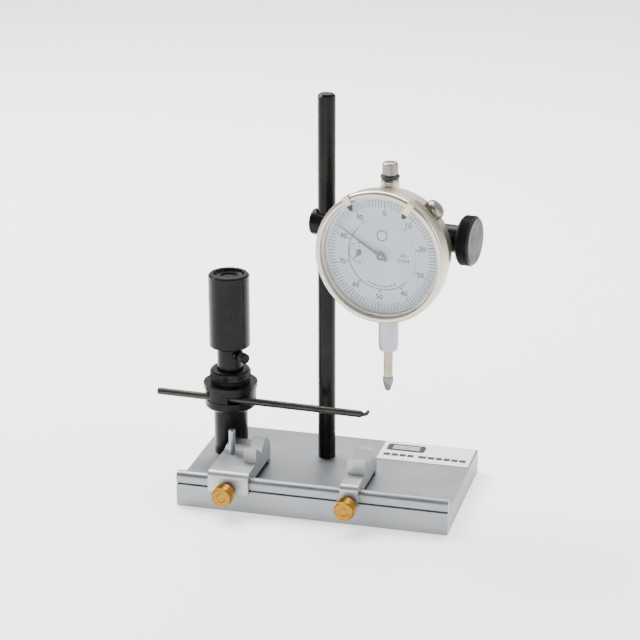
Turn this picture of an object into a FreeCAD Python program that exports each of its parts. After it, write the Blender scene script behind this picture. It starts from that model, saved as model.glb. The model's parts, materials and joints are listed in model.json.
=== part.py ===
"""Cartridge-case gauging stand: an aluminium base with two sliding V-blocks, a gauge post and a dial indicator.

Frame: millimetres, +Z up, +X to the right along the rail, +Y to the back.  The origin is the centre of the
base's underside.  Depths along the base are measured from the rail's front face, then moved to that origin.
"""
import FreeCAD, Part
import math
import os

import Sketcher

Vector = FreeCAD.Vector
doc = FreeCAD.newDocument("GaugingStand")
sheet = doc.addObject("Spreadsheet::Sheet", "Sizes")

# ---------------------------------------------------------------------------------------------------------
# Driving dimensions
# ---------------------------------------------------------------------------------------------------------
DRIVING_SIZES = {
    # base extrusion and its rail
    "base_length": 133.35,
    "base_depth": 76.2,
    "plate_top": 11.4,
    "rail_top": 17.3,
    "rail_round": 3.0,
    "groove_mid": 11.6,
    "groove_half": 0.55,
    "groove_depth": 1.3,
    "label_width": 46.0,
    "label_depth": 21.6,
    "label_thick": 0.25,
    "label_margin": 1.0,
    # V-blocks, the pin and the thumbscrews
    "slide_gap": 0.1,
    "skirt_thick": 2.6,
    "skirt_bottom": 10.3,
    "skirt_round": 3.0,
    "block_top": 20.8,
    "prong_front": 11.8,
    "prong_top": 27.5,
    "prong_ledge": 2.6,
    "vee_middle": 20.9,
    "vee_bottom": 22.7,
    "shoulder_top": 22.2,
    "arm_under": 14.3,
    "arm_back": 36.6,
    "foot_depth": 3.0,
    "foot_lift": 0.05,
    "left_block_edge": 16.8,
    "left_block_width": 19.9,
    "prong_width": 6.1,
    "right_block_edge": 82.0,
    "right_block_width": 8.6,
    "lobe_radius": 3.9,
    "pin_edge": 5.2,
    "pin_radius": 1.59,
    "pin_top": 33.4,
    "pin_depth": 4.0,
    "thumb_radius": 5.2,
    "thumb_head": 7.0,
    "thumb_neck": 1.9,
    "thumb_shank": 1.75,
    "thumb_point": 0.5,
    "left_thumb_edge": 26.0,
    "right_thumb_edge": 86.0,
    # indicator rod
    "rod_edge": 61.8,
    "rod_front": 50.7,
    "rod_radius": 4.3,
    "rod_top": 195.7,
    "rod_socket": 6.0,
    # gauge post and what it carries
    "post_edge": 13.94,
    "post_front": 45.4,
    "post_radius": 8.4,
    "post_neck_radius": 6.3,
    "post_neck_top": 56.2,
    "post_spindle_radius": 5.0,
    "post_spindle_top": 88.0,
    "collar_radius": 12.7,
    "lower_collar_bottom": 36.1,
    "collar_seam": 40.6,
    "collar_top": 48.6,
    "flange_radius": 13.4,
    "flange_thick": 2.3,
    "seam_gap": 0.35,
    "nut_radius": 10.3,
    "nut_top": 55.7,
    "nut_skirt": 2.3,
    "sleeve_foot": 56.3,
    "sleeve_neck_radius": 6.35,
    "sleeve_step": 67.3,
    "sleeve_radius": 10.1,
    "sleeve_top": 104.8,
    "sleeve_recess_radius": 7.6,
    "sleeve_recess": 1.2,
    "stop_screw_height": 64.4,
    "stop_screw_turn": 50.0,
    "stop_screw_radius": 2.6,
    "probe_radius": 1.75,
    "probe_offset": 8.5,
    "probe_height": 42.5,
    "probe_turn": -2.13,
    "probe_left": 35.2,
    "probe_right": 69.3,
    "probe_tip": 1.6,
    "probe_hook": 2.2,
    # indicator clamp
    "head_turn": -8.3,
    "bar_height": 132.5,
    "bar_radius": 6.35,
    "bar_left": 7.1,
    "bush_radius": 5.0,
    "stud_radius": 3.1,
    "lug_half": 3.17,
    "lug_radius": 6.6,
    "neck_radius": 6.6,
    "knob_left": 68.4,
    "knob_face": 75.2,
    "knob_radius": 11.9,
    # dial indicator
    "dial_across": 39.17,
    "dial_height": 129.4,
    "stem_forward": 18.0,
    "case_radius": 28.2,
    "case_wall": 1.8,
    "case_back": 10.5,
    "case_front": 26.5,
    "cover_radius": 26.9,
    "cover_back": 8.7,
    "bezel_radius": 31.7,
    "bezel_back": 23.6,
    "bezel_front": 32.5,
    "glass_radius": 28.8,
    "glass_forward": 31.2,
    "glass_thick": 0.9,
    "dial_forward": 27.6,
    "dial_thick": 0.5,
    "dial_radius": 27.9,
    "pointer_forward": 29.0,
    "pointer_thick": 0.3,
    "counter_shift": 11.2,
    "counter_forward": 28.1,
    "stem_radius": 4.76,
    "stem_bottom": 79.9,
    "guard_radius": 4.35,
    "guard_top": 163.6,
    "ring_top": 165.6,
    "cap_radius": 3.65,
    "cap_top": 171.7,
    "spindle_radius": 2.18,
    "contact_radius": 2.5,
    "contact_top": 66.5,
    "contact_bottom": 59.2,
    "lock_radius": 4.8,
    "lock_foot": 28.7,
    "lock_head": 32.6,
    "lock_dome": 34.3,
    "lock_forward": 18.6,
    "running_gap": 0.06,
}


class Dim:
    """A length that carries both its value and the expression that gives it in the spreadsheet."""

    def __init__(self, value, text):
        self.value = float(value)
        self.text = text

    def join(self, other, sign, value):
        """A new length made from two lengths with one arithmetic sign."""
        return Dim(value, f"({self.text} {sign} {other.text})")

    def __add__(self, other):
        other = as_dim(other)
        return self.join(other, "+", self.value + other.value)

    def __radd__(self, other):
        return as_dim(other) + self

    def __sub__(self, other):
        other = as_dim(other)
        return self.join(other, "-", self.value - other.value)

    def __rsub__(self, other):
        return as_dim(other) - self

    def __mul__(self, other):
        other = as_dim(other)
        return self.join(other, "*", self.value * other.value)

    def __rmul__(self, other):
        return as_dim(other) * self

    def __truediv__(self, other):
        other = as_dim(other)
        return self.join(other, "/", self.value / other.value)

    def __neg__(self):
        return as_dim(0) - self


def as_dim(number):
    """The same length when it already is one, or a plain number made into a length."""
    if isinstance(number, Dim):
        return number
    return Dim(number, f"({number})" if number < 0 else f"{number}")


class Sizes:
    """The driving dimensions as lengths, one attribute for each alias of the spreadsheet."""


s = Sizes()
for row, (alias, number) in enumerate(DRIVING_SIZES.items(), start=1):
    sheet.set(f"A{row}", alias)
    sheet.set(f"B{row}", f"{number}")
    sheet.setAlias(f"B{row}", alias)
    setattr(s, alias, Dim(number, f"Sizes.{alias}"))
doc.recompute()


def across(edge):
    """X of a place given from the base's left end."""
    return edge - s.base_length / 2


def back(depth):
    """Y of a place given from the rail's front face."""
    return depth - s.base_depth / 2


# ---------------------------------------------------------------------------------------------------------
# Building blocks
# ---------------------------------------------------------------------------------------------------------
UPRIGHT = FreeCAD.Rotation()
ALONG_X = FreeCAD.Rotation(Vector(0, 1, 0), 90)
ALONG_FRONT = FreeCAD.Rotation(Vector(1, 0, 0), 90)
HEAD_TURN = FreeCAD.Rotation(Vector(0, 0, 1), s.head_turn.value)
FULL_TURN = 360


def place(x, y, z, rotation=UPRIGHT):
    """A placement from three lengths and a rotation."""
    return FreeCAD.Placement(Vector(as_dim(x).value, as_dim(y).value, as_dim(z).value), rotation)


def in_head(sideways, depth, height, rotation=UPRIGHT):
    """A placement in the swung head: sideways along the clamp bar, depth behind the rod's axis, height up."""
    local = Vector(as_dim(sideways).value, as_dim(depth).value, 0)
    turned_local = HEAD_TURN.multVec(local)
    foot = Vector(across(s.rod_edge).value, back(s.rod_front).value, as_dim(height).value)
    return FreeCAD.Placement(foot + turned_local, HEAD_TURN.multiply(rotation))


def origin_plane(body, role):
    """One of the body's own origin planes, found by its role."""
    for feature in body.Origin.OriginFeatures:
        if feature.Role == role:
            return feature
    raise ValueError(role)


def sketch_outline(body, role, outline, arcs):
    """A closed sketch whose corners are bound to the sheet.  arcs gives {first corner: (centre x, centre y)}
    for each corner whose edge is an anticlockwise arc instead of a line."""
    sketch = body.newObject("Sketcher::SketchObject", f"{body.Name}_outline")
    sketch.AttachmentSupport = [(origin_plane(body, role), "")]
    sketch.MapMode = "FlatFace"
    corners = [(as_dim(x), as_dim(y)) for x, y in outline]
    spots = [Vector(x.value, y.value, 0) for x, y in corners]
    count = len(corners)
    for index, spot in enumerate(spots):
        following = spots[(index + 1) % count]
        if index in arcs:
            centre = Vector(as_dim(arcs[index][0]).value, as_dim(arcs[index][1]).value, 0)
            circle = Part.Circle(centre, Vector(0, 0, 1), (spot - centre).Length)
            first = math.atan2(spot.y - centre.y, spot.x - centre.x)
            last = math.atan2(following.y - centre.y, following.x - centre.x)
            sketch.addGeometry(Part.ArcOfCircle(circle, first, last), False)
        else:
            sketch.addGeometry(Part.LineSegment(spot, following), False)
    for index in range(count):
        sketch.addConstraint(Sketcher.Constraint("Coincident", index, 2, (index + 1) % count, 1))
    for index, (x, y) in enumerate(corners):
        bind_corner(sketch, "DistanceX", index, 1, x, -2)
        bind_corner(sketch, "DistanceY", index, 1, y, -1)
        if index in arcs:
            centre_y = as_dim(arcs[index][1])
            number = sketch.addConstraint(Sketcher.Constraint("DistanceY", index, 3, centre_y.value))
            sketch.renameConstraint(number, f"c{index}")
            sketch.setExpression(f"Constraints.c{index}", centre_y.text)
    return sketch


def bind_corner(sketch, kind, index, start, length, axis):
    """Binds one coordinate of a corner to the sheet, or puts the corner on the axis where it is nought."""
    if abs(length.value) < 1e-9:
        sketch.addConstraint(Sketcher.Constraint("PointOnObject", index, start, axis))
        return
    number = sketch.addConstraint(Sketcher.Constraint(kind, index, start, length.value))
    name = f"{kind[-1].lower()}{index}"
    sketch.renameConstraint(number, name)
    sketch.setExpression(f"Constraints.{name}", length.text)


def turned(label, outline, placement, arcs=None):
    """A lathe-turned piece: the outline is (radius, height) corners, revolved about the local Z axis."""
    body = doc.addObject("PartDesign::Body", label)
    sketch = sketch_outline(body, "XZ_Plane", outline, arcs or {})
    revolution = body.newObject("PartDesign::Revolution", f"{label}_revolution")
    revolution.Profile = sketch
    revolution.ReferenceAxis = (sketch, ["V_Axis"])
    revolution.Angle = FULL_TURN
    body.Placement = placement
    sketch.Visibility = False
    return body


def extruded(label, outline, width, placement, role="YZ_Plane", arcs=None):
    """A piece of constant section: the outline lies on an origin plane and is padded along its normal."""
    body = doc.addObject("PartDesign::Body", label)
    sketch = sketch_outline(body, role, outline, arcs or {})
    pad = body.newObject("PartDesign::Pad", f"{label}_pad")
    pad.Profile = sketch
    pad.Length = as_dim(width).value
    pad.setExpression("Length", as_dim(width).text)
    body.Placement = placement
    sketch.Visibility = False
    return body


def cylinder(label, radius, height, placement):
    """A Part cylinder bound to the sheet."""
    shape = doc.addObject("Part::Cylinder", label)
    shape.setExpression("Radius", as_dim(radius).text)
    shape.setExpression("Height", as_dim(height).text)
    shape.Placement = placement
    return shape


def box(label, length, width, height, placement):
    """A Part box bound to the sheet."""
    shape = doc.addObject("Part::Box", label)
    shape.setExpression("Length", as_dim(length).text)
    shape.setExpression("Width", as_dim(width).text)
    shape.setExpression("Height", as_dim(height).text)
    shape.Placement = placement
    return shape


def fused(label, pieces):
    """Several shapes joined into one solid."""
    union = doc.addObject("Part::MultiFuse", label)
    union.Shapes = pieces
    union.Refine = True
    return union


def cut(label, base, tools):
    """A shape with one or more tools taken out of it."""
    tool = tools[0] if len(tools) == 1 else fused(f"{label}_tools", tools)
    result = doc.addObject("Part::Cut", label)
    result.Base = base
    result.Tool = tool
    result.Refine = True
    return result


def ring(inner, outer, low, high):
    """The outline of a plain ring or tube, or of a plain disc where inner is nought."""
    return [(inner, low), (outer, low), (outer, high), (inner, high)]


# ---------------------------------------------------------------------------------------------------------
# Base: one extrusion with a round-topped rail and a clamping groove, its label and its two screws
# ---------------------------------------------------------------------------------------------------------
def make_base():
    """The base extrusion with its two stepped holes, the label and the screws that hold the uprights."""
    deep = s.rail_round * 2
    outline = [
        (back(0), 0),
        (back(s.base_depth), 0),
        (back(s.base_depth), s.plate_top),
        (back(deep), s.plate_top),
        (back(deep), s.rail_top - s.rail_round),
        (back(0), s.rail_top - s.rail_round),
        (back(0), s.groove_mid + s.groove_half),
        (back(s.groove_depth), s.groove_mid),
        (back(0), s.groove_mid - s.groove_half),
    ]
    rail_arc = {4: (back(s.rail_round), s.rail_top - s.rail_round)}
    blank = extruded("base_blank", outline, s.base_length, place(across(0), 0, 0), arcs=rail_arc)
    uprights = (("rod", s.rod_edge, s.rod_front), ("post", s.post_edge, s.post_front))
    holes = []
    for name, edge, front in uprights:
        spot = (across(edge), back(front))
        holes.append(cylinder(f"{name}_screw_hole", SCREW_SHANK + 0.15, s.plate_top, place(*spot, 0)))
        holes.append(cylinder(f"{name}_head_hole", SCREW_HEAD + 0.3, COUNTERBORE, place(*spot, 0)))
    socket_depth = s.plate_top - s.rod_socket
    holes.append(cylinder("rod_socket_hole", s.rod_radius, s.rod_socket,
                          place(across(s.rod_edge), back(s.rod_front), socket_depth)))
    base = cut("base_plate", blank, holes)
    label = box("base_label", s.label_width, s.label_depth, s.label_thick,
                place(across(s.base_length - s.label_margin - s.label_width),
                      back(s.base_depth - s.label_margin - s.label_depth), s.plate_top))
    screws = [upright_screw(f"{name}_base_screw", edge, front, top)
              for (name, edge, front), top in zip(uprights, (socket_depth + 6, s.plate_top + 9))]
    return [base, label] + screws


SCREW_SHANK = as_dim(2.0)
SCREW_HEAD = as_dim(3.5)
COUNTERBORE = as_dim(4.2)
HEX_SOCKET = as_dim(1.5)


def upright_screw(label, edge, front, top):
    """A socket-head screw that comes up through the base into the foot of an upright."""
    outline = [
        (0, 2.3), (HEX_SOCKET, 2.3), (HEX_SOCKET, 0.4), (SCREW_HEAD, 0.4), (SCREW_HEAD, COUNTERBORE),
        (SCREW_SHANK, COUNTERBORE), (SCREW_SHANK, top), (0, top),
    ]
    return turned(label, outline, place(across(edge), back(front), 0))


# ---------------------------------------------------------------------------------------------------------
# Uprights
# ---------------------------------------------------------------------------------------------------------
def make_indicator_rod():
    """The tall rod that carries the indicator, with a bevelled top and a tapped foot."""
    low = s.plate_top - s.rod_socket
    bevel = as_dim(1.0)
    outline = [
        (SCREW_SHANK, low), (s.rod_radius, low), (s.rod_radius, s.rod_top - bevel),
        (s.rod_radius - bevel, s.rod_top), (0, s.rod_top), (0, low + 6.5), (SCREW_SHANK, low + 6.5),
    ]
    return turned("indicator_rod", outline, place(across(s.rod_edge), back(s.rod_front), 0))


def make_gauge_post():
    """The stepped post: a thick foot, a threaded neck for the collar and nut, and a thin spindle on top."""
    bevel = as_dim(0.6)
    outline = [
        (SCREW_SHANK, s.plate_top), (s.post_radius, s.plate_top), (s.post_radius, s.collar_seam),
        (s.post_neck_radius, s.collar_seam), (s.post_neck_radius, s.post_neck_top),
        (s.post_spindle_radius, s.post_neck_top), (s.post_spindle_radius, s.post_spindle_top - bevel),
        (s.post_spindle_radius - bevel, s.post_spindle_top), (0, s.post_spindle_top),
        (0, s.plate_top + 10), (SCREW_SHANK, s.plate_top + 10),
    ]
    return turned("gauge_post", outline, post_axis())


def post_axis():
    """The gauge post's axis, at the height of the base's underside."""
    return place(across(s.post_edge), back(s.post_front), 0)


def make_lower_collar():
    """The fixed collar on the post's shoulder, which the probe rod rests on."""
    bevel = as_dim(0.8)
    top = s.collar_seam
    outline = [
        (s.post_radius, s.lower_collar_bottom), (s.collar_radius - bevel, s.lower_collar_bottom),
        (s.collar_radius, s.lower_collar_bottom + bevel), (s.collar_radius, top), (s.post_radius, top),
    ]
    return turned("lower_collar", outline, post_axis())


def probe_frame(sideways, depth, height, rotation=UPRIGHT):
    """A placement about the post's axis, turned with the probe rod: sideways along the rod, depth behind."""
    swing = FreeCAD.Rotation(Vector(0, 0, 1), s.probe_turn.value)
    local = swing.multVec(Vector(as_dim(sideways).value, as_dim(depth).value, as_dim(height).value))
    foot = Vector(across(s.post_edge).value, back(s.post_front).value, 0)
    return FreeCAD.Placement(foot + local, swing.multiply(rotation))


def make_upper_collar():
    """The collar that holds the probe rod in a slot from below, with a flange on top and a window in front."""
    bore = s.post_neck_radius + s.running_gap
    low = s.collar_seam + s.seam_gap
    flange_low = s.collar_top - s.flange_thick
    outline = [
        (bore, low), (s.collar_radius, low), (s.collar_radius, flange_low), (s.flange_radius, flange_low),
        (s.flange_radius, s.collar_top), (bore, s.collar_top),
    ]
    blank = turned("upper_collar_blank", outline, post_axis())
    reach = s.flange_radius * 2
    slot_radius = s.probe_radius + s.running_gap
    hole = cylinder("probe_hole", slot_radius, reach,
                    probe_frame(-s.flange_radius, -s.probe_offset, s.probe_height, ALONG_X))
    slot = box("probe_slot", reach, slot_radius * 2, s.probe_height - low + 0.5,
               probe_frame(-s.flange_radius, -s.probe_offset - slot_radius, low - 0.5))
    window = box("probe_window", reach / 2, reach / 2, WINDOW_TOP - low + 0.5,
                 probe_frame(WINDOW_LEFT, -s.flange_radius - WINDOW_BACK, low - 0.5))
    return cut("upper_collar", blank, [hole, slot, window])


WINDOW_LEFT = as_dim(2.6)
WINDOW_BACK = as_dim(7.6)
WINDOW_TOP = as_dim(44.4)


def make_collar_nut():
    """The knurled nut that presses the upper collar on the probe rod."""
    bore = s.post_neck_radius + s.running_gap
    bevel = as_dim(0.7)
    waist = s.nut_radius - 0.5
    knurl_low = s.collar_top + s.nut_skirt
    outline = [
        (bore, s.collar_top + 0.05), (waist, s.collar_top + 0.05), (waist, knurl_low),
        (s.nut_radius, knurl_low), (s.nut_radius, s.nut_top - bevel), (s.nut_radius - bevel, s.nut_top),
        (bore, s.nut_top),
    ]
    return turned("collar_nut", outline, post_axis())


def stop_screw_frame(along, rotation=UPRIGHT):
    """A placement along the lock screw's axis, which points out of the sleeve's neck to the front right."""
    turn = math.radians(s.stop_screw_turn.value)
    out = Vector(math.sin(turn), -math.cos(turn), 0)
    foot = Vector(across(s.post_edge).value, back(s.post_front).value, s.stop_screw_height.value)
    facing = FreeCAD.Rotation(Vector(0, 0, 1), out)
    return FreeCAD.Placement(foot + out * as_dim(along).value, facing.multiply(rotation))


def make_stop_sleeve():
    """The sliding stop: a thick head with a dished top on a narrow neck, bored from below for the spindle."""
    bore = s.post_spindle_radius + s.running_gap
    bevel = as_dim(0.8)
    rim = s.sleeve_recess_radius
    dish = s.sleeve_top - s.sleeve_recess
    roof = s.post_spindle_top + 1.5
    outline = [
        (bore, s.sleeve_foot), (s.sleeve_neck_radius, s.sleeve_foot), (s.sleeve_neck_radius, s.sleeve_step),
        (s.sleeve_radius - bevel, s.sleeve_step), (s.sleeve_radius, s.sleeve_step + bevel),
        (s.sleeve_radius, s.sleeve_top - bevel), (s.sleeve_radius - bevel, s.sleeve_top),
        (rim, s.sleeve_top), (rim - 0.6, dish), (DISH_STEP, dish), (DISH_STEP, dish - 0.5), (0, dish - 0.5),
        (0, roof), (bore, roof),
    ]
    blank = turned("stop_sleeve_blank", outline, post_axis())
    boss = cylinder("stop_boss", BOSS_RADIUS, BOSS_END - s.post_spindle_radius - 0.4,
                    stop_screw_frame(s.post_spindle_radius + 0.4))
    sleeve = fused("stop_sleeve_boss", [blank, boss])
    hole = cylinder("stop_screw_hole", STOP_SHANK + s.running_gap, BOSS_END, stop_screw_frame(3.0))
    return cut("stop_sleeve", sleeve, [hole])


DISH_STEP = as_dim(4.2)
BOSS_RADIUS = as_dim(2.6)
BOSS_END = as_dim(8.4)
STOP_SHANK = as_dim(1.4)
STOP_HEAD_START = as_dim(10.2)
STOP_HEAD_END = as_dim(14.2)


def make_stop_screw():
    """The small knurled screw that locks the sliding stop."""
    start = s.post_spindle_radius + s.running_gap
    bevel = as_dim(0.4)
    outline = [
        (0, start), (STOP_SHANK - 0.3, start), (STOP_SHANK, start + 0.3), (STOP_SHANK, STOP_HEAD_START),
        (s.stop_screw_radius, STOP_HEAD_START), (s.stop_screw_radius, STOP_HEAD_END - bevel),
        (s.stop_screw_radius - bevel, STOP_HEAD_END), (0, STOP_HEAD_END),
    ]
    return turned("stop_screw", outline, stop_screw_frame(0))


def make_probe_rod():
    """The long probe rod with a bevelled left end and a short cone that ends in a small upturned hook."""
    radius = s.probe_radius
    bevel = as_dim(0.4)
    wire = as_dim(0.85)
    outline = [
        (0, -s.probe_left), (radius - bevel, -s.probe_left), (radius, -s.probe_left + bevel),
        (radius, s.probe_right), (wire, s.probe_right + s.probe_tip), (0, s.probe_right + s.probe_tip),
    ]
    shank = turned("probe_shank", outline,
                   probe_frame(0, -s.probe_offset, s.probe_height, ALONG_X))
    hook = doc.addObject("Part::Torus", "probe_hook")
    hook.setExpression("Radius1", s.probe_hook.text)
    hook.setExpression("Radius2", wire.text)
    hook.Angle3 = HOOK_BEND
    hook.Placement = probe_frame(s.probe_right + s.probe_tip, -s.probe_offset, s.probe_height + s.probe_hook,
                                 FreeCAD.Rotation(Vector(0, 0, -1), Vector(1, 0, 0), Vector(0, -1, 0), "XYZ"))
    return fused("probe_rod", [shank, hook])


HOOK_BEND = 88


def make_post_group():
    """Everything that stands on the gauge post's axis."""
    return [make_gauge_post(), make_lower_collar(), make_upper_collar(), make_collar_nut(),
            make_stop_sleeve(), make_stop_screw(), make_probe_rod()]


# ---------------------------------------------------------------------------------------------------------
# V-blocks
# ---------------------------------------------------------------------------------------------------------
def block_underside():
    """The part of the side outline that straddles the rail and stands on the plate, from front to back."""
    behind_rail = back(s.rail_round * 2 + s.slide_gap)
    over_rail = s.rail_top + s.slide_gap
    foot_front = s.arm_back - s.foot_depth
    floor = s.plate_top + s.foot_lift
    return [
        (back(-s.slide_gap), s.skirt_bottom), (back(-s.slide_gap), over_rail), (behind_rail, over_rail),
        (behind_rail, s.arm_under), (back(foot_front), s.arm_under), (back(foot_front), floor),
        (back(s.arm_back), floor),
    ]


def block_front():
    """The front end of the side outline, whose upper corner is rounded."""
    skirt = back(-s.skirt_thick)
    return [
        (back(s.skirt_round - s.skirt_thick), s.block_top), (skirt, s.block_top - s.skirt_round),
        (skirt, s.skirt_bottom),
    ]


def corner_arc(first):
    """The rounded upper front corner, for an outline whose corner number first starts it."""
    return {first: (back(s.skirt_round - s.skirt_thick), s.block_top - s.skirt_round)}


def vee_outline():
    """The side outline of the part with the V: two prongs, the notch between them and a sloping shoulder."""
    rear_start = s.vee_middle * 2 - s.prong_front - s.prong_ledge
    outline = block_underside() + [
        (back(s.arm_back), s.shoulder_top), (back(rear_start + s.prong_ledge), s.prong_top),
        (back(rear_start), s.prong_top), (back(s.vee_middle), s.vee_bottom),
        (back(s.prong_front + s.prong_ledge), s.prong_top), (back(s.prong_front), s.prong_top),
        (back(s.prong_front), s.block_top),
    ]
    return outline + block_front(), corner_arc(len(outline))


def table_outline():
    """The side outline of the plain table beside the prongs, which rises a little towards the back."""
    outline = block_underside() + [
        (back(s.arm_back), s.shoulder_top), (back(TABLE_RISE_END), s.shoulder_top),
        (back(TABLE_RISE_START), s.block_top),
    ]
    return outline + block_front(), corner_arc(len(outline))


TABLE_RISE_START = as_dim(25.0)
TABLE_RISE_END = as_dim(29.0)


def clamp_lobe(label, edge):
    """The round lobe of the skirt that gives the thumbscrew its thread, and the hole through it."""
    lobe = cylinder(f"{label}_lobe", s.lobe_radius, s.skirt_thick - s.slide_gap,
                    place(across(edge), back(-s.slide_gap), s.groove_mid, ALONG_FRONT))
    hole = cylinder(f"{label}_thread", s.thumb_shank + s.running_gap, s.skirt_thick + 2,
                    place(across(edge), back(1), s.groove_mid, ALONG_FRONT))
    return lobe, hole


def make_left_block():
    """The wide block: a plain table with a pin hole on its left and the V on its right."""
    outline, arcs = vee_outline()
    vee_edge = s.left_block_edge + s.left_block_width - s.prong_width
    vee = extruded("left_vee", outline, s.prong_width, place(across(vee_edge), 0, 0), arcs=arcs)
    outline, arcs = table_outline()
    table = extruded("left_table", outline, s.left_block_width - s.prong_width,
                     place(across(s.left_block_edge), 0, 0), arcs=arcs)
    lobe, hole = clamp_lobe("left", s.left_thumb_edge)
    blank = fused("left_block_blank", [vee, table, lobe])
    pin_hole = cylinder("pin_hole", s.pin_radius, s.pin_depth,
                        place(across(s.left_block_edge + s.pin_edge), back(s.vee_middle),
                              s.block_top - s.pin_depth))
    return cut("left_vblock", blank, [hole, pin_hole])


def make_neck_pin():
    """The upright steel pin in the left block's table, with a bevelled top that has a small hole."""
    bevel = as_dim(0.5)
    low = s.block_top - s.pin_depth
    outline = [
        (0, low), (s.pin_radius, low), (s.pin_radius, s.pin_top - bevel), (s.pin_radius - bevel, s.pin_top),
        (0.55, s.pin_top), (0.55, s.pin_top - 2.5), (0, s.pin_top - 2.5),
    ]
    return turned("neck_pin", outline, place(across(s.left_block_edge + s.pin_edge), back(s.vee_middle), 0))


def make_right_block():
    """The narrow block, which is the V section alone."""
    outline, arcs = vee_outline()
    blank = extruded("right_vee", outline, s.right_block_width, place(across(s.right_block_edge), 0, 0),
                     arcs=arcs)
    lobe, hole = clamp_lobe("right", s.right_thumb_edge)
    return cut("right_vblock", fused("right_block_blank", [blank, lobe]), [hole])


def make_thumbscrew(side, edge):
    """A knurled screw through a block's skirt, whose cone enters the rail's groove."""
    face = s.skirt_thick + s.thumb_neck + s.thumb_head
    bevel = as_dim(0.5)
    neck = s.thumb_shank + 1.0
    head_start = face - s.thumb_head
    outline = [
        (0, -s.thumb_point), (s.thumb_shank, s.thumb_shank - s.thumb_point + s.running_gap),
        (s.thumb_shank, s.skirt_thick + 0.05), (neck, s.skirt_thick + 0.05), (neck, head_start),
        (s.thumb_radius - bevel, head_start), (s.thumb_radius, head_start + bevel),
        (s.thumb_radius, face - bevel), (s.thumb_radius - bevel, face), (0, face),
    ]
    return turned(f"{side}_thumbscrew", outline,
                  place(across(edge), back(0), s.groove_mid, ALONG_FRONT))


def make_blocks():
    """Both V-blocks with their pin and thumbscrews."""
    return [make_left_block(), make_neck_pin(), make_thumbscrew("left", s.left_thumb_edge),
            make_right_block(), make_thumbscrew("right", s.right_thumb_edge)]


# ---------------------------------------------------------------------------------------------------------
# Indicator clamp: a bar across the rod, with the indicator's lug gripped between the bar and a sleeve
# ---------------------------------------------------------------------------------------------------------
def bar_axis(sideways=0):
    """The clamp bar's axis, pointing to the knob."""
    return in_head(sideways, 0, s.bar_height, ALONG_X)


def make_clamp_body():
    """The bar that the rod passes through, with a domed left end and a tapped bore from the right."""
    end = s.dial_across - s.lug_half
    dome = as_dim(1.2)
    bore = s.stud_radius + s.running_gap
    outline = [
        (0, -s.bar_left), (s.bar_radius - dome, -s.bar_left), (s.bar_radius, -s.bar_left + dome),
        (s.bar_radius, end), (bore, end), (bore, 0), (0, 0),
    ]
    blank = turned("clamp_body_blank", outline, bar_axis(),
                   arcs={1: (s.bar_radius - dome, dome - s.bar_left)})
    rod_hole = cylinder("clamp_rod_hole", s.bush_radius + s.running_gap, s.bar_radius * 2 + 2,
                        in_head(0, 0, s.bar_height - s.bar_radius - 1))
    return cut("clamp_body", blank, [rod_hole])


def make_rod_bush():
    """The bush round the rod inside the clamp bar, which the stud's tip presses on."""
    half = as_dim(5.2)
    outline = ring(s.rod_radius + s.running_gap, s.bush_radius, s.bar_height - half, s.bar_height + half)
    return turned("rod_bush", outline, in_head(0, 0, 0))


def make_clamp_stud():
    """The threaded stud from the knob, through the sleeve and the lug, to the bush."""
    outline = [
        (0, s.bush_radius + 0.1), (1.6, s.bush_radius + 0.1), (1.6, s.bush_radius + 2.6),
        (s.stud_radius, s.bush_radius + 4.1), (s.stud_radius, s.knob_face - 2.0), (0, s.knob_face - 2.0),
    ]
    return turned("clamp_stud", outline, bar_axis())


def make_clamp_sleeve():
    """The spacer between the indicator's lug and the knob."""
    start = s.dial_across + s.lug_half
    outline = ring(s.stud_radius, s.neck_radius, start, s.knob_left)
    return turned("clamp_sleeve", outline, bar_axis())


def make_clamp_knob():
    """The large knurled knob with a bevelled face."""
    bevel = as_dim(0.8)
    radius = s.knob_radius
    outline = [
        (s.stud_radius, s.knob_left), (radius - bevel, s.knob_left), (radius, s.knob_left + bevel),
        (radius, s.knob_face - bevel), (radius - bevel, s.knob_face), (0, s.knob_face),
        (0, s.knob_face - 2.0), (s.stud_radius, s.knob_face - 2.0),
    ]
    return turned("clamp_knob", outline, bar_axis())


def make_clamp():
    """The whole clamp."""
    return [make_rod_bush(), make_clamp_body(), make_clamp_sleeve(), make_clamp_stud(), make_clamp_knob()]


# ---------------------------------------------------------------------------------------------------------
# Dial indicator
# ---------------------------------------------------------------------------------------------------------
def dial_axis(sideways=0, up=0):
    """An axis that points out of the dial's face, with heights counted forward from the clamp bar's axis."""
    return in_head(s.dial_across + sideways, 0, s.dial_height + up, ALONG_FRONT)


def stem_axis():
    """The upright axis of the stem and the spindle."""
    return in_head(s.dial_across, -s.stem_forward, 0)


def make_indicator_case():
    """The cup-shaped case with openings for the stem, the guard and the lock screw's thread."""
    inner = s.case_radius - s.case_wall
    outline = [
        (inner, s.case_back), (s.case_radius - 0.8, s.case_back), (s.case_radius, s.case_back + 0.8),
        (s.case_radius, s.case_front), (inner, s.case_front),
    ]
    shell = turned("case_shell", outline, dial_axis())
    low_hole = cylinder("stem_hole", s.stem_radius, 20,
                        in_head(s.dial_across, -s.stem_forward, s.dial_height - s.case_radius - 6))
    high_hole = cylinder("guard_hole", s.guard_radius, 20,
                         in_head(s.dial_across, -s.stem_forward, s.dial_height + s.case_radius - 14))
    lock_hole = cylinder("lock_hole", LOCK_SHANK + 0.05, 8, lock_axis(s.lock_foot - 6))
    return cut("indicator_case", shell, [low_hole, high_hole, lock_hole])


LOCK_SHANK = as_dim(1.5)
LOCK_TILT = FreeCAD.Rotation(Vector(0, 1, 0), 45)


def lock_axis(along):
    """A placement on the lock screw's axis, which leaves the case halfway between top and right."""
    reach = as_dim(along) * math.sqrt(0.5)
    return in_head(s.dial_across + reach, -s.lock_forward, s.dial_height + reach, LOCK_TILT)


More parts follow.
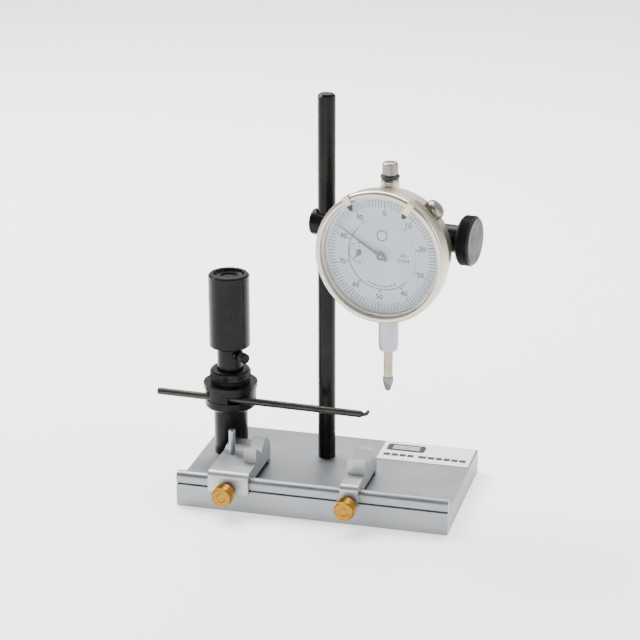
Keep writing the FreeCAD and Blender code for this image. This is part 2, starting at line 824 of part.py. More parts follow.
def make_back_cover():
    """The back plate with the upright mounting lug, bored for the clamp stud, and the return spring's anchor."""
    disc = turned("cover_disc", [
        (0, s.cover_back), (s.cover_radius - 0.5, s.cover_back), (s.cover_radius, s.cover_back + 0.5),
        (s.cover_radius, s.case_back), (0, s.case_back)], dial_axis())
    thick = s.lug_half * 2 - s.running_gap * 2
    left = s.dial_across - s.lug_half + s.running_gap
    web = box("lug_web", thick, s.cover_back, s.lug_radius * 2,
              in_head(left, -s.cover_back, s.bar_height - s.lug_radius))
    eye = cylinder("lug_eye", s.lug_radius, thick, in_head(left, 0, s.bar_height, ALONG_X))
    anchor = cylinder("spring_anchor", 0.7, SPRING_REACH, in_head(
        s.dial_across - SPRING_SIDE, 0.5 - s.case_back, s.dial_height + SPRING_LOW - 0.9, ALONG_FRONT))
    blank = fused("cover_blank", [disc, web, eye, anchor])
    hole = cylinder("lug_hole", s.stud_radius + s.running_gap, thick + 2,
                    in_head(left - 1, 0, s.bar_height, ALONG_X))
    screw_holes = [cylinder(f"cover_hole_{number}", COVER_SHANK, 2.4, cover_screw_spot(number, 8.6))
                   for number in range(COVER_SCREWS)]
    return cut("back_cover", blank, [hole] + screw_holes)


COVER_SCREWS = 4
COVER_SHANK = as_dim(0.8)
COVER_HEAD = as_dim(1.6)
COVER_CIRCLE = as_dim(22.5)


def cover_screw_spot(number, forward):
    """The axis of one of the back cover's screws, at a distance forward of the clamp bar's axis."""
    angle = math.radians(45 + 90 * number)
    sideways = COVER_CIRCLE * math.cos(angle)
    up = COVER_CIRCLE * math.sin(angle)
    return in_head(s.dial_across + sideways, -as_dim(forward), s.dial_height + up, ALONG_FRONT)


def make_back_screws():
    """The four small screws of the back cover, as one group of separate solids."""
    solids = []
    for number in range(COVER_SCREWS):
        outline = [(0, 0), (COVER_HEAD, 0), (COVER_HEAD, 0.9), (COVER_SHANK, 0.9), (COVER_SHANK, 2.6), (0, 2.6)]
        screw = turned(f"back_screw_{number}", outline, cover_screw_spot(number, s.cover_back - 0.9))
        solids.append(screw)
    group = doc.addObject("Part::Compound", "back_screws")
    group.Links = solids
    return group


def make_stem():
    """The mounting stem under the case, bored for the spindle, with a tapered lower end."""
    bore = s.spindle_radius + s.running_gap
    outline = [
        (bore, s.stem_bottom), (s.stem_radius - 0.8, s.stem_bottom), (s.stem_radius - 0.45, s.stem_bottom + 0.3),
        (s.stem_radius, s.stem_bottom + 3.4), (s.stem_radius, s.dial_height - s.case_radius + 4),
        (bore, s.dial_height - s.case_radius + 4),
    ]
    return turned("stem", outline, stem_axis())


def make_upper_guard():
    """The short tube on top of the case that guides the spindle."""
    bore = s.spindle_radius + s.running_gap
    low = s.dial_height + s.case_radius - 3.6
    outline = [
        (bore, low), (s.guard_radius, low), (s.guard_radius, s.guard_top - 1.0),
        (s.guard_radius - 0.7, s.guard_top), (bore, s.guard_top),
    ]
    return turned("upper_guard", outline, stem_axis())


def make_spindle():
    """The spindle with its rack flat, the screwed-in contact point, the lift cap and the rubber ring."""
    low = s.contact_top - 3.0
    top = s.cap_top - 2.5
    rod = cylinder("spindle_blank", s.spindle_radius, top - low, in_head(s.dial_across, -s.stem_forward, low))
    arm = cylinder("spring_arm", 0.7, SPRING_SIDE + 2.0, in_head(
        s.dial_across - SPRING_SIDE - 2.0, -s.stem_forward, s.dial_height + SPRING_HIGH + 0.9, ALONG_X))
    flat = box("rack_flat", 2, 5, 34, in_head(s.dial_across + 1.7, -s.stem_forward - 2.5, s.dial_height - 28))
    spindle = cut("spindle_rod", fused("spindle_with_arm", [rod, arm]), [flat])
    radius = s.contact_radius
    foot = s.contact_bottom
    contact = turned("contact_point", [
        (0, foot), (0.9, foot + 0.15), (1.45, foot + 0.9), (radius - 0.15, foot + 4.0), (radius, foot + 4.6),
        (radius, s.contact_top - 0.2), (radius - 0.2, s.contact_top), (s.spindle_radius, s.contact_top),
        (s.spindle_radius, low), (0, low)], stem_axis())
    ring_low = s.guard_top + 0.05
    bumper = turned("bumper_ring", [
        (s.spindle_radius, ring_low), (s.guard_radius - 0.3, ring_low), (s.guard_radius + 0.15, ring_low + 0.6),
        (s.guard_radius + 0.15, s.ring_top - 0.6), (s.guard_radius - 0.3, s.ring_top),
        (s.spindle_radius, s.ring_top)], stem_axis())
    dome = as_dim(1.0)
    cap = turned("lift_cap", [
        (s.spindle_radius, s.ring_top), (s.cap_radius, s.ring_top), (s.cap_radius, s.cap_top - dome),
        (s.cap_radius - 0.9, s.cap_top - 0.2), (0, s.cap_top), (0, top), (s.spindle_radius, top)], stem_axis())
    return [spindle, contact, bumper, cap]


def make_bezel():
    """The turning bezel: a rim over the case's front edge, an inner wall and a ledge for the glass."""
    bore = s.case_radius + s.running_gap
    wall = s.dial_radius
    bevel = as_dim(0.9)
    outline = [
        (bore, s.bezel_back), (s.bezel_radius - 0.3, s.bezel_back), (s.bezel_radius, s.bezel_back + 0.3),
        (s.bezel_radius, s.bezel_front - bevel), (s.bezel_radius - bevel, s.bezel_front),
        (s.glass_radius + 0.35, s.bezel_front), (s.glass_radius, s.bezel_front - 0.4),
        (s.glass_radius, s.glass_forward - s.glass_thick), (wall, s.glass_forward - s.glass_thick),
        (wall, s.case_front + 0.3), (bore, s.case_front + 0.3),
    ]
    return turned("bezel", outline, dial_axis())


def make_face_pieces():
    """The glass, the dial's turning ring, its fixed centre with two holes, and the two tolerance markers."""
    glass = turned("crystal", ring(0, s.glass_radius, s.glass_forward - s.glass_thick, s.glass_forward),
                   dial_axis())
    low = s.dial_forward - s.dial_thick
    face = turned("dial_face", ring(DIAL_CENTRE + s.running_gap * 2, s.dial_radius, low, s.dial_forward),
                  dial_axis())
    disc = cylinder("dial_disc", DIAL_CENTRE, s.dial_thick, in_head(
        s.dial_across, -low, s.dial_height, ALONG_FRONT))
    centre_hole = cylinder("dial_hole", 1.1, 3, in_head(s.dial_across, -(low - 1), s.dial_height, ALONG_FRONT))
    counter_hole = cylinder("dial_counter_hole", 0.9, 3, in_head(
        s.dial_across - s.counter_shift, -(low - 1), s.dial_height, ALONG_FRONT))
    centre = cut("dial_centre", disc, [centre_hole, counter_hole])
    markers = [make_marker("low_marker", 121.0), make_marker("high_marker", 60.0)]
    return [glass, face, centre] + markers


DIAL_CENTRE = as_dim(16.7)


def make_marker(label, angle):
    """A spring clip over the bezel's front that carries a pointed flag above the glass."""
    turn = FreeCAD.Rotation(Vector(0, 0, 1), angle - 90)
    rotation = ALONG_FRONT.multiply(turn)
    centre = in_head(s.dial_across, 0, s.dial_height, rotation)
    half = MARKER_WIDTH / 2
    over = s.bezel_radius + MARKER_GAP
    front = s.bezel_front + MARKER_GAP
    outline = [
        (over, s.bezel_front - 3.4), (over + MARKER_SHEET, s.bezel_front - 3.4), (over + MARKER_SHEET, front),
        (over, front + MARKER_SHEET), (s.glass_radius - 5.2, front + MARKER_SHEET),
        (s.glass_radius - 5.2, front), (over, front),
    ]
    return extruded(label, outline, MARKER_WIDTH,
                    centre.multiply(FreeCAD.Placement(Vector(-half.value, 0, 0), UPRIGHT)))


MARKER_WIDTH = as_dim(3.4)
MARKER_GAP = as_dim(0.08)
MARKER_SHEET = as_dim(0.35)


def make_lock_screw():
    """The domed knurled screw that locks the bezel."""
    bevel = as_dim(0.5)
    outline = [
        (0, s.lock_foot - 3.4), (LOCK_SHANK, s.lock_foot - 3.4), (LOCK_SHANK, s.lock_foot),
        (s.lock_radius - bevel, s.lock_foot), (s.lock_radius, s.lock_foot + bevel),
        (s.lock_radius, s.lock_head), (s.lock_radius * 0.62, s.lock_dome - 0.5), (0, s.lock_dome),
    ]
    return turned("bezel_lock_screw", outline, lock_axis(0))


def make_pointer():
    """The main pointer with its hub and tail, set a little above the dial, and the arbor that drives it."""
    low = s.pointer_forward
    high = low + s.pointer_thick
    turn = FreeCAD.Rotation(Vector(0, 0, 1), POINTER_ANGLE)
    rotation = ALONG_FRONT.multiply(turn)
    blade = extruded("pointer_blade", [
        (-3.4, -0.95), (0, -0.75), (24.5, -0.12), (24.5, 0.12), (0, 0.75), (-3.4, 0.95)], s.pointer_thick, in_head(s.dial_across, -low, s.dial_height, rotation), role="XY_Plane")
    hub = cylinder("pointer_hub", 2.0, 0.7, in_head(s.dial_across, -(low - 0.1), s.dial_height, ALONG_FRONT))
    blank = fused("pointer_blank", [blade, hub])
    bore = cylinder("pointer_bore", 0.6, 3, in_head(s.dial_across, -(low - 1), s.dial_height, ALONG_FRONT))
    pointer = cut("main_pointer", blank, [bore])
    arbor = turned("centre_arbor", [
        (0, ARBOR_BACK), (0.6, ARBOR_BACK), (0.6, 22.0), (1.9, 22.0), (1.9, 23.4), (0.6, 23.4), (0.6, high + 0.3),
        (0, high + 0.3)], dial_axis())
    return [pointer, arbor]


POINTER_ANGLE = 149.5
ARBOR_BACK = as_dim(20.9)


def make_counter():
    """The small revolution counter's pointer and its arbor with a plain wheel."""
    low = s.counter_forward
    turn = FreeCAD.Rotation(Vector(0, 0, 1), COUNTER_ANGLE)
    rotation = ALONG_FRONT.multiply(turn)
    spot = s.dial_across - s.counter_shift
    blade = extruded("counter_blade", [(-1.6, -0.3), (0, -0.45), (4.2, -0.1), (4.2, 0.1), (0, 0.45), (-1.6, 0.3)],
                     0.25, in_head(spot, -low, s.dial_height, rotation), role="XY_Plane")
    hub = cylinder("counter_hub", 1.3, 0.4, in_head(spot, -low, s.dial_height, ALONG_FRONT))
    pointer = fused("counter_pointer", [blade, hub])
    arbor = turned("counter_arbor", [
        (0, ARBOR_BACK), (0.6, ARBOR_BACK), (0.6, 24.1), (6.6, 24.1), (6.6, 24.6), (0.6, 24.6),
        (0.6, low), (0, low)], dial_axis(-s.counter_shift))
    return [pointer, arbor]


COUNTER_ANGLE = 234.0
DRIVE_SIDEWAYS = as_dim(4.4)
DRIVE_UP = as_dim(-9.0)


def make_movement():
    """The movement plates with their pillars and the dial's feet, the drive gear and both springs."""
    half = PLATE_SIZE / 2
    plates = []
    for name, forward in (("rear", REAR_PLATE), ("front", FRONT_PLATE)):
        plates.append(box(f"{name}_plate", PLATE_SIZE, PLATE_THICK, PLATE_SIZE,
                          in_head(s.dial_across - half, -forward - PLATE_THICK, s.dial_height - half)))
    for number in range(4):
        sideways = PILLAR_SPREAD * (1 if number % 2 else -1)
        up = PILLAR_SPREAD * (1 if number < 2 else -1)
        plates.append(cylinder(f"pillar_{number}", 1.4, FRONT_PLATE + PLATE_THICK - s.case_back,
                               in_head(s.dial_across + sideways, -s.case_back, s.dial_height + up,
                                       ALONG_FRONT)))
    for up in (-12, 12):
        plates.append(cylinder(f"dial_foot_{'low' if up < 0 else 'high'}", 0.9,
                               s.dial_forward - s.dial_thick - FRONT_PLATE,
                               in_head(s.dial_across, -FRONT_PLATE, s.dial_height + up, ALONG_FRONT)))
    blank = fused("movement_blank", plates)
    bearings = [
        cylinder("centre_bearing", ARBOR_RADIUS + s.running_gap, BEARING_REACH, bearing_spot(0, 0)),
        cylinder("counter_bearing", ARBOR_RADIUS + s.running_gap, BEARING_REACH,
                 bearing_spot(-s.counter_shift, 0)),
        cylinder("drive_bearing", ARBOR_RADIUS + s.running_gap, BEARING_REACH,
                 bearing_spot(DRIVE_SIDEWAYS, DRIVE_UP)),
    ]
    frame = cut("movement_frame", blank, bearings)
    collet = as_dim(1.2)
    drive = turned("drive_gear", [
        (0, 16.4), (DRIVE_PINION, 16.4), (DRIVE_PINION, 19.8), (ARBOR_RADIUS, 19.8), (ARBOR_RADIUS, 22.3),
        (7.8, 22.3), (7.8, 22.9), (collet, 22.9), (collet, 24.4), (ARBOR_RADIUS, 24.4), (ARBOR_RADIUS, 26.0),
        (0, 26.0)],
        in_head(s.dial_across + DRIVE_SIDEWAYS, 0, s.dial_height + DRIVE_UP, ALONG_FRONT))
    return [frame, drive, make_hairspring(), make_return_spring()]


PLATE_SIZE = as_dim(34.0)
PLATE_THICK = as_dim(0.9)
REAR_PLATE = as_dim(20.7)
FRONT_PLATE = as_dim(25.3)
PILLAR_SPREAD = as_dim(15.0)
SPRING_SIDE = as_dim(6.5)
SPRING_REACH = as_dim(9.0)
SPRING_LOW = as_dim(-14.0)
SPRING_HIGH = as_dim(9.5)
DRIVE_PINION = as_dim(2.3)
ARBOR_RADIUS = as_dim(0.6)
BEARING_REACH = as_dim(8.0)
HAIRSPRING_LEVEL = as_dim(23.3)


def bearing_spot(sideways, up):
    """The start of a bearing hole through both movement plates."""
    return in_head(s.dial_across + sideways, 0.5 - REAR_PLATE, s.dial_height + up, ALONG_FRONT)


def make_hairspring():
    """The flat spiral spring on the drive arbor, built of half turns that grow step by step."""
    step = 0.5
    strip = 0.18
    depth = 0.8
    solids = []
    for number in range(9):
        inner = 1.2 + step * number
        shift = step if number % 2 else 0.0
        start = Vector(shift, 0, 0)
        outer_half = Part.makeCylinder(inner + strip, depth, start, Vector(0, 0, 1), 180)
        inner_half = Part.makeCylinder(inner, depth, start, Vector(0, 0, 1), 180)
        half = outer_half.cut(inner_half)
        if number % 2:
            half.rotate(start, Vector(0, 0, 1), 180)
        solids.append(half)
    spiral = solids[0].multiFuse(solids[1:]).removeSplitter()
    feature = doc.addObject("Part::Feature", "hairspring")
    feature.Shape = spiral
    feature.Placement = in_head(s.dial_across + DRIVE_SIDEWAYS, -HAIRSPRING_LEVEL, s.dial_height + DRIVE_UP,
                                ALONG_FRONT)
    return feature


def make_return_spring():
    """The long wire spring beside the spindle, from the anchor on the frame up to the spindle's arm."""
    coil_radius = 1.5
    wire_radius = 0.22
    pitch = 1.4
    height = (SPRING_HIGH - SPRING_LOW).value
    helix = Part.makeHelix(pitch, height, coil_radius)
    profile = Part.Wire([Part.makeCircle(wire_radius, Vector(coil_radius, 0, 0), Vector(0, 1, 0))])
    sweep = Part.Wire(helix).makePipeShell([profile], True, True)
    feature = doc.addObject("Part::Feature", "return_spring")
    feature.Shape = sweep
    feature.Placement = in_head(s.dial_across - SPRING_SIDE, -s.stem_forward, s.dial_height + SPRING_LOW)
    return feature


def make_indicator():
    """The whole dial indicator."""
    pieces = [make_indicator_case(), make_back_cover(), make_back_screws(), make_stem(), make_upper_guard()]
    pieces += make_spindle() + [make_bezel()] + make_face_pieces() + [make_lock_screw()]
    return pieces + make_pointer() + make_counter() + make_movement()


# ---------------------------------------------------------------------------------------------------------
# Assemble, check and write
# ---------------------------------------------------------------------------------------------------------
def check(piece):
    """Stops the build when a piece is empty, failed or not valid."""
    if piece.Shape.isNull() or not piece.Shape.isValid() or not piece.Shape.Solids:
        raise RuntimeError(f"{piece.Label} has no valid solid")


parts = make_base() + [make_indicator_rod()] + make_post_group() + make_blocks() + make_clamp()
parts += make_indicator()
doc.recompute()
for item in doc.Objects:
    if "Invalid" in item.State or "Error" in item.State:
        raise RuntimeError(f"{item.Label} failed: {item.State}")
os.makedirs("parts", exist_ok=True)
for part in parts:
    check(part)
for part in parts:
    part.Shape.exportStep(f"parts/{part.Label}.step")
    print(f"{part.Label}: {len(part.Shape.Solids)} solid, {part.Shape.Volume:.1f} mm3")
print(f"{len(parts)} parts")
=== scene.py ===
"""Looks of the dial indicator gauging stand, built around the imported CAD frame.

Every size is in metres in the CAD's own frame.  Axes and places come from the frame's joints and boxes.
"""
from __future__ import annotations

import json
import logging
import math
from collections.abc import Callable, Sequence
from dataclasses import dataclass, field
from enum import Enum

import bmesh
import bpy
from mathutils import Matrix, Vector


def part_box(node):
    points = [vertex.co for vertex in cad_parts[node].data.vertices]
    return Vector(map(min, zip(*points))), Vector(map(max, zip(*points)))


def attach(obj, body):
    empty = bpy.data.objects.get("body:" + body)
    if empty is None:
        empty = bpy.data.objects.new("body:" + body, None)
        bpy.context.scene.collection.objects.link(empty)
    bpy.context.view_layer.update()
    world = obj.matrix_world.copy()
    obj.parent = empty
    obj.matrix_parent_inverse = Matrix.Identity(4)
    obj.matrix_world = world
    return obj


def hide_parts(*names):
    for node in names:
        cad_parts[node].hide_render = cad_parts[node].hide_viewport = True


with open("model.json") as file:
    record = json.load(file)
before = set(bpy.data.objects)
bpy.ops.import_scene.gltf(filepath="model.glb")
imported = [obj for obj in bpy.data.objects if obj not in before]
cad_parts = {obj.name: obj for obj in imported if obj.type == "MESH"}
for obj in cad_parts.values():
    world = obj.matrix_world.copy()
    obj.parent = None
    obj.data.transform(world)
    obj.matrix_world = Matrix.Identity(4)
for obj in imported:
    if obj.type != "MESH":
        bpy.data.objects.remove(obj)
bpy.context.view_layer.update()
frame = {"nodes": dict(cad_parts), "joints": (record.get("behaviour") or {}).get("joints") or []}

logging.basicConfig(level=logging.INFO, format="%(message)s")
log = logging.getLogger("stand")

MM = 0.001
FULL_TURN = 2 * math.pi
Colour = tuple[float, float, float]
Profile = Sequence[tuple[float, float]]
Piece = bpy.types.Object
Material = bpy.types.Material
HEAD_TURN = math.radians(8.3)
PRINT_THICK = 0.02 * MM
KNURL_SINK = 0.02 * MM


# ---- Nodes as Python expressions ----
def math_method(operation: str, swapped: bool = False) -> Callable[..., Wire]:
    """Makes a method of Wire that adds one Math node.

    Args:
        operation: the Math node's operation.
        swapped: whether the other value comes first.
    Returns:
        The method.
    """
    def method(self: Wire, *others: Wire | float) -> Wire:
        values = (*others, self) if swapped else (self, *others)
        return self.board.node("ShaderNodeMath", {"operation": operation}, dict(enumerate(values)))

    return method


class Wire:
    """An output socket whose arithmetic adds Math nodes to its tree."""

    def __init__(self, board: Board, socket: bpy.types.NodeSocket) -> None:
        """Keeps the socket and the board that its nodes go on."""
        self.board = board
        self.socket = socket

    __add__ = math_method("ADD")
    __radd__ = math_method("ADD", swapped=True)
    __sub__ = math_method("SUBTRACT")
    __rsub__ = math_method("SUBTRACT", swapped=True)
    __mul__ = math_method("MULTIPLY")
    __rmul__ = math_method("MULTIPLY", swapped=True)
    __truediv__ = math_method("DIVIDE")
    __mod__ = math_method("FLOORED_MODULO")
    floor = math_method("FLOOR")
    sine = math_method("SINE")
    cosine = math_method("COSINE")
    below = math_method("LESS_THAN")

    def smooth(self, low: float, high: float) -> Wire:
        """A smooth step from nought at low to one at high."""
        return self.board.node("ShaderNodeMapRange", {"interpolation_type": "SMOOTHSTEP"},
                               {"Value": self, "From Min": low, "From Max": high}, "Result")


class Board:
    """A node tree that nodes are added to by type, settings and socket values."""

    def __init__(self, tree: bpy.types.NodeTree) -> None:
        """Keeps the tree."""
        self.tree = tree

    def place(self, kind: str, settings: dict | None = None, inputs: dict | None = None) -> bpy.types.Node:
        """Adds a node.

        Args:
            kind: the node's type name.
            settings: properties set before its sockets.
            inputs: socket names or numbers with their values or wires.
        Returns:
            The node.
        """
        node = self.tree.nodes.new(kind)
        for name, value in (settings or {}).items():
            setattr(node, name, value)
        self.fill(node, inputs or {})
        return node

    def fill(self, node: bpy.types.Node, inputs: dict) -> None:
        """Sets a node's sockets, given by name or number, to values or wires."""
        for name, value in inputs.items():
            socket = node.inputs[name]
            if isinstance(value, Wire):
                self.tree.links.new(value.socket, socket)
            else:
                socket.default_value = value

    def node(self, kind: str, settings: dict | None = None, inputs: dict | None = None,
             output: str | int = 0) -> Wire:
        """Adds a node and returns one of its outputs."""
        return Wire(self, self.place(kind, settings, inputs).outputs[output])

    def noise(self, where: Wire, scale: float, detail: float, roughness: float = 0.5) -> Wire:
        """Noise at a place."""
        return self.node("ShaderNodeTexNoise", None, {
            "Vector": where, "Scale": scale, "Detail": detail, "Roughness": roughness})

    def mix(self, factor: Wire, first: Colour, second: Colour) -> Wire:
        """A colour between two."""
        return self.node("ShaderNodeMix", {"data_type": "RGBA"}, {
            "Factor": factor, "A": (*first, 1.0), "B": (*second, 1.0)}, 2)

    def bump(self, strength: float, distance: float, height: Wire) -> Wire:
        """A normal that leans with a height."""
        return self.node("ShaderNodeBump", None, {
            "Strength": strength, "Distance": distance, "Height": height})

    def vector(self, x: Wire | float, y: Wire | float, z: Wire | float) -> Wire:
        """Joins three numbers into a vector."""
        return self.node("ShaderNodeCombineXYZ", None, {0: x, 1: y, 2: z})


# ---- Finishes ----
class Grain(Enum):
    """Which way a metal's tool marks run, as the noise's stretch along X, Y and Z."""

    CAST = (1.0, 1.0, 1.0)
    ALONG_X = (0.02, 1.0, 1.0)
    UPRIGHT = (1.0, 1.0, 0.02)
    TURNED_UPRIGHT = (0.03, 0.03, 1.0)
    TURNED_ACROSS = (1.0, 0.03, 0.03)
    TURNED_FRONT = (0.03, 1.0, 0.03)


@dataclass(frozen=True)
class Metal:
    """A worked metal: its colour, its tool marks (scale, depth) and its stains (scale, amount)."""

    name: str
    colour: Colour
    stain: Colour
    roughness: tuple[float, float] = (0.3, 0.45)
    metallic: float = 1.0
    grain: Grain = Grain.CAST
    marks: tuple[float, float] = (2500.0, 0.15)
    stains: tuple[float, float] = (60.0, 0.5)
    turn: float = 0.0
    specular: float = 0.5

    def make(self) -> Material:
        """Builds the material.

        Returns:
            A node material on Object coordinates.
        """
        board, shader, where = new_material(self.name)
        if self.turn:
            where = board.node("ShaderNodeMapping", None, {"Vector": where, "Rotation": (0, 0, self.turn)})
        stretched = board.node("ShaderNodeVectorMath", {"operation": "MULTIPLY"},
                               {0: where, 1: self.grain.value})
        mark_scale, mark_depth = self.marks
        stain_scale, stain_amount = self.stains
        marks = board.noise(stretched, mark_scale, 3.0)
        cloud = board.noise(where, stain_scale, 5.0, 0.6)
        patch = cloud.smooth(0.42, 0.68) * stain_amount
        tint = board.mix(patch + (marks - 0.5) * 0.35, self.colour, self.stain)
        low, high = self.roughness
        rough = low + (high - low) * (0.6 * patch / max(stain_amount, 0.01) + 0.4 * marks)
        bump = board.bump(mark_depth, 0.1 * MM, marks)
        board.fill(shader, {"Base Color": tint, "Roughness": rough, "Normal": bump,
                            "Metallic": self.metallic, "Specular IOR Level": self.specular})
        return board.material


@dataclass(frozen=True)
class Paint:
    """Printed card, ink, paint or rubber: a colour with fine mottling and a slight skin texture."""

    name: str
    colour: Colour
    shade: Colour
    roughness: float = 0.5
    mottle_scale: float = 400.0
    skin_depth: float = 0.05

    def make(self) -> Material:
        """Builds the material."""
        board, shader, where = new_material(self.name)
        mottle = board.noise(where, self.mottle_scale, 4.0)
        skin = board.noise(where, self.mottle_scale * 12, 2.0)
        tint = board.mix(mottle.smooth(0.35, 0.7), self.colour, self.shade)
        bump = board.bump(self.skin_depth, 0.05 * MM, skin)
        board.fill(shader, {"Base Color": tint, "Roughness": self.roughness - 0.05 + 0.1 * skin,
                            "Normal": bump})
        return board.material


@dataclass(frozen=True)
class Crystal:
    """The clear flat crystal over the dial, with faint wipe marks in its gloss."""

    name: str
    opacity: float = 0.07

    def make(self) -> Material:
        """Builds the material."""
        board, shader, where = new_material(self.name)
        wipes = board.noise(where, 90.0, 3.0)
        board.fill(shader, {"Roughness": 0.02 + 0.05 * wipes, "Base Color": (0.93, 0.96, 1.0, 1.0),
                            "Alpha": self.opacity, "IOR": 1.5})
        board.material.surface_render_method = "BLENDED"
        return board.material


class MaterialBoard(Board):
    """A board on a material's tree."""

    def __init__(self, material: Material) -> None:
        """Keeps the material beside its tree."""
        super().__init__(material.node_tree)
        self.material = material


def new_material(name: str) -> tuple[MaterialBoard, bpy.types.Node, Wire]:
    """A fresh node material.

    Args:
        name: the material's name.
    Returns:
        Its board, its Principled shader and its Object coordinates.
    """
    material = bpy.data.materials.new(name)
    material.use_nodes = True
    board = MaterialBoard(material)
    shader = material.node_tree.nodes["Principled BSDF"]
    return board, shader, board.node("ShaderNodeTexCoord", None, None, "Object")


class Finishes:
    """Every finish on the stand, each made once."""

    def __init__(self) -> None:
        """Builds the materials."""
        self.plate = Metal(
            "satin_plate", (0.25, 0.262, 0.275), (0.27, 0.28, 0.295), (0.4, 0.52), grain=Grain.ALONG_X,
            marks=(5200.0, 0.25), stains=(45.0, 0.35)).make()
        self.block = Metal(
            "frosted_block", (0.39, 0.4, 0.405), (0.41, 0.42, 0.425), (0.4, 0.56), marks=(3800.0, 0.3),
            stains=(120.0, 0.3)).make()
        self.black = Metal(
            "black_oxide", (0.008, 0.009, 0.009), (0.02, 0.018, 0.015), (0.22, 0.34), metallic=0.45,
            specular=0.14, grain=Grain.TURNED_UPRIGHT, marks=(3500.0, 0.1), stains=(80.0, 0.35)).make()
        self.black_rod = Metal(
            "black_rod", (0.008, 0.009, 0.009), (0.024, 0.02, 0.016), (0.22, 0.34), metallic=0.45,
            specular=0.14, grain=Grain.UPRIGHT, marks=(3000.0, 0.12), stains=(50.0, 0.45)).make()
        self.knob_black = Metal(
            "knob_black", (0.012, 0.013, 0.013), (0.034, 0.034, 0.032), (0.28, 0.4), metallic=0.5,
            specular=0.25, marks=(3000.0, 0.2), stains=(150.0, 0.5)).make()
        self.nut_black = Metal(
            "rubbed_knurl", (0.035, 0.036, 0.033), (0.1, 0.1, 0.09), (0.26, 0.4), metallic=0.85,
            marks=(3000.0, 0.2), stains=(300.0, 0.6)).make()
        self.worn_face = Metal(
            "worn_knob_face", (0.034, 0.035, 0.031), (0.02, 0.02, 0.018), (0.38, 0.52),
            grain=Grain.TURNED_ACROSS, marks=(3000.0, 0.3), stains=(130.0, 0.5), turn=HEAD_TURN).make()
        self.probe = Metal(
            "drawn_rod", (0.045, 0.041, 0.036), (0.025, 0.023, 0.02), (0.36, 0.5), metallic=0.8,
            grain=Grain.ALONG_X, marks=(4000.0, 0.2), stains=(220.0, 0.6)).make()
        self.bright = Metal(
            "ground_steel", (0.3, 0.315, 0.35), (0.22, 0.23, 0.26), (0.26, 0.38),
            grain=Grain.TURNED_UPRIGHT, marks=(5000.0, 0.12), stains=(160.0, 0.3)).make()
        self.spindle = Metal(
            "worn_spindle", (0.32, 0.27, 0.21), (0.24, 0.2, 0.15), (0.24, 0.38), grain=Grain.UPRIGHT,
            marks=(4000.0, 0.12), stains=(160.0, 0.4)).make()
        self.contact = Metal(
            "frosted_tip", (0.2, 0.205, 0.21), (0.13, 0.135, 0.145), (0.42, 0.58), marks=(6000.0, 0.5),
            stains=(500.0, 0.6)).make()
        self.brass = Metal(
            "turned_brass", (0.3, 0.15, 0.022), (0.15, 0.07, 0.009), (0.26, 0.42), grain=Grain.TURNED_FRONT,
            marks=(4500.0, 0.3), stains=(260.0, 0.7)).make()
        self.pale_gold = Metal(
            "pale_gold", (0.62, 0.53, 0.33), (0.5, 0.4, 0.2), (0.25, 0.4), marks=(3000.0, 0.15),
            stains=(300.0, 0.4)).make()
        self.nickel = Metal(
            "satin_nickel", (0.55, 0.5, 0.42), (0.45, 0.4, 0.32), (0.32, 0.44), grain=Grain.TURNED_FRONT,
            marks=(4500.0, 0.08), stains=(40.0, 0.3), turn=HEAD_TURN).make()
        self.cap = Metal(
            "satin_cap", (0.25, 0.24, 0.205), (0.18, 0.17, 0.14), (0.28, 0.4), grain=Grain.TURNED_UPRIGHT,
            marks=(4000.0, 0.1), stains=(200.0, 0.3)).make()
        self.blued = Metal(
            "blued_spring", (0.08, 0.1, 0.18), (0.12, 0.1, 0.12), (0.25, 0.4), marks=(2500.0, 0.15),
            stains=(300.0, 0.5)).make()
        self.dial = Paint("dial_enamel", (0.42, 0.47, 0.54), (0.45, 0.5, 0.56), 0.45, 90.0, 0.03).make()
        self.ink = Paint("black_ink", (0.008, 0.008, 0.01), (0.014, 0.014, 0.016), 0.6, 900.0).make()
        self.grey_ink = Paint("grey_ink", (0.02, 0.022, 0.027), (0.035, 0.037, 0.04), 0.6, 900.0).make()
        self.red_ink = Paint("red_ink", (0.2, 0.05, 0.05), (0.26, 0.08, 0.08), 0.6, 900.0).make()
        self.card = Paint("label_card", (0.86, 0.86, 0.83), (0.8, 0.8, 0.78), 0.45, 300.0, 0.03).make()
        self.rubber = Paint(
            "soft_black_rubber", (0.012, 0.012, 0.012), (0.025, 0.025, 0.025), 0.5, 900.0, 0.2).make()
        self.pointer = Paint(
            "matt_pointer_black", (0.012, 0.012, 0.014), (0.03, 0.03, 0.032), 0.35, 800.0, 0.05).make()
        self.crystal = Crystal("clear_crystal").make()


# ---- Places, meshes and pieces ----
def axis_frame(origin: Sequence[float], direction: Sequence[float],
               up: Sequence[float] = (0, 0, 1)) -> Matrix:
    """A matrix whose Z runs along a direction.

    Args:
        origin: where its origin is.
        direction: where its Z points.
        up: where its Y points, as nearly as it can.
    Returns:
        The matrix.
    """
    z = Vector(direction).normalized()
    rough = Vector(up)
    if abs(z.dot(rough.normalized())) > 0.99:
        rough = Vector((0, 1, 0))
    x = rough.cross(z).normalized()
    y = z.cross(x)
    turn = Matrix((x, y, z)).transposed().to_4x4()
    return Matrix.Translation(Vector(origin)) @ turn


def joint_frame(name: str) -> Matrix:
    """A matrix on a joint's axis, with its Z along it."""
    joint = next(item for item in frame["joints"] if item["name"] == name)
    return axis_frame(joint["pos_m"], joint["axis"])


def corners(node: str) -> tuple[Vector, Vector]:
    """A node's lowest and highest corners."""
    low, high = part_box(node)
    return Vector(low), Vector(high)


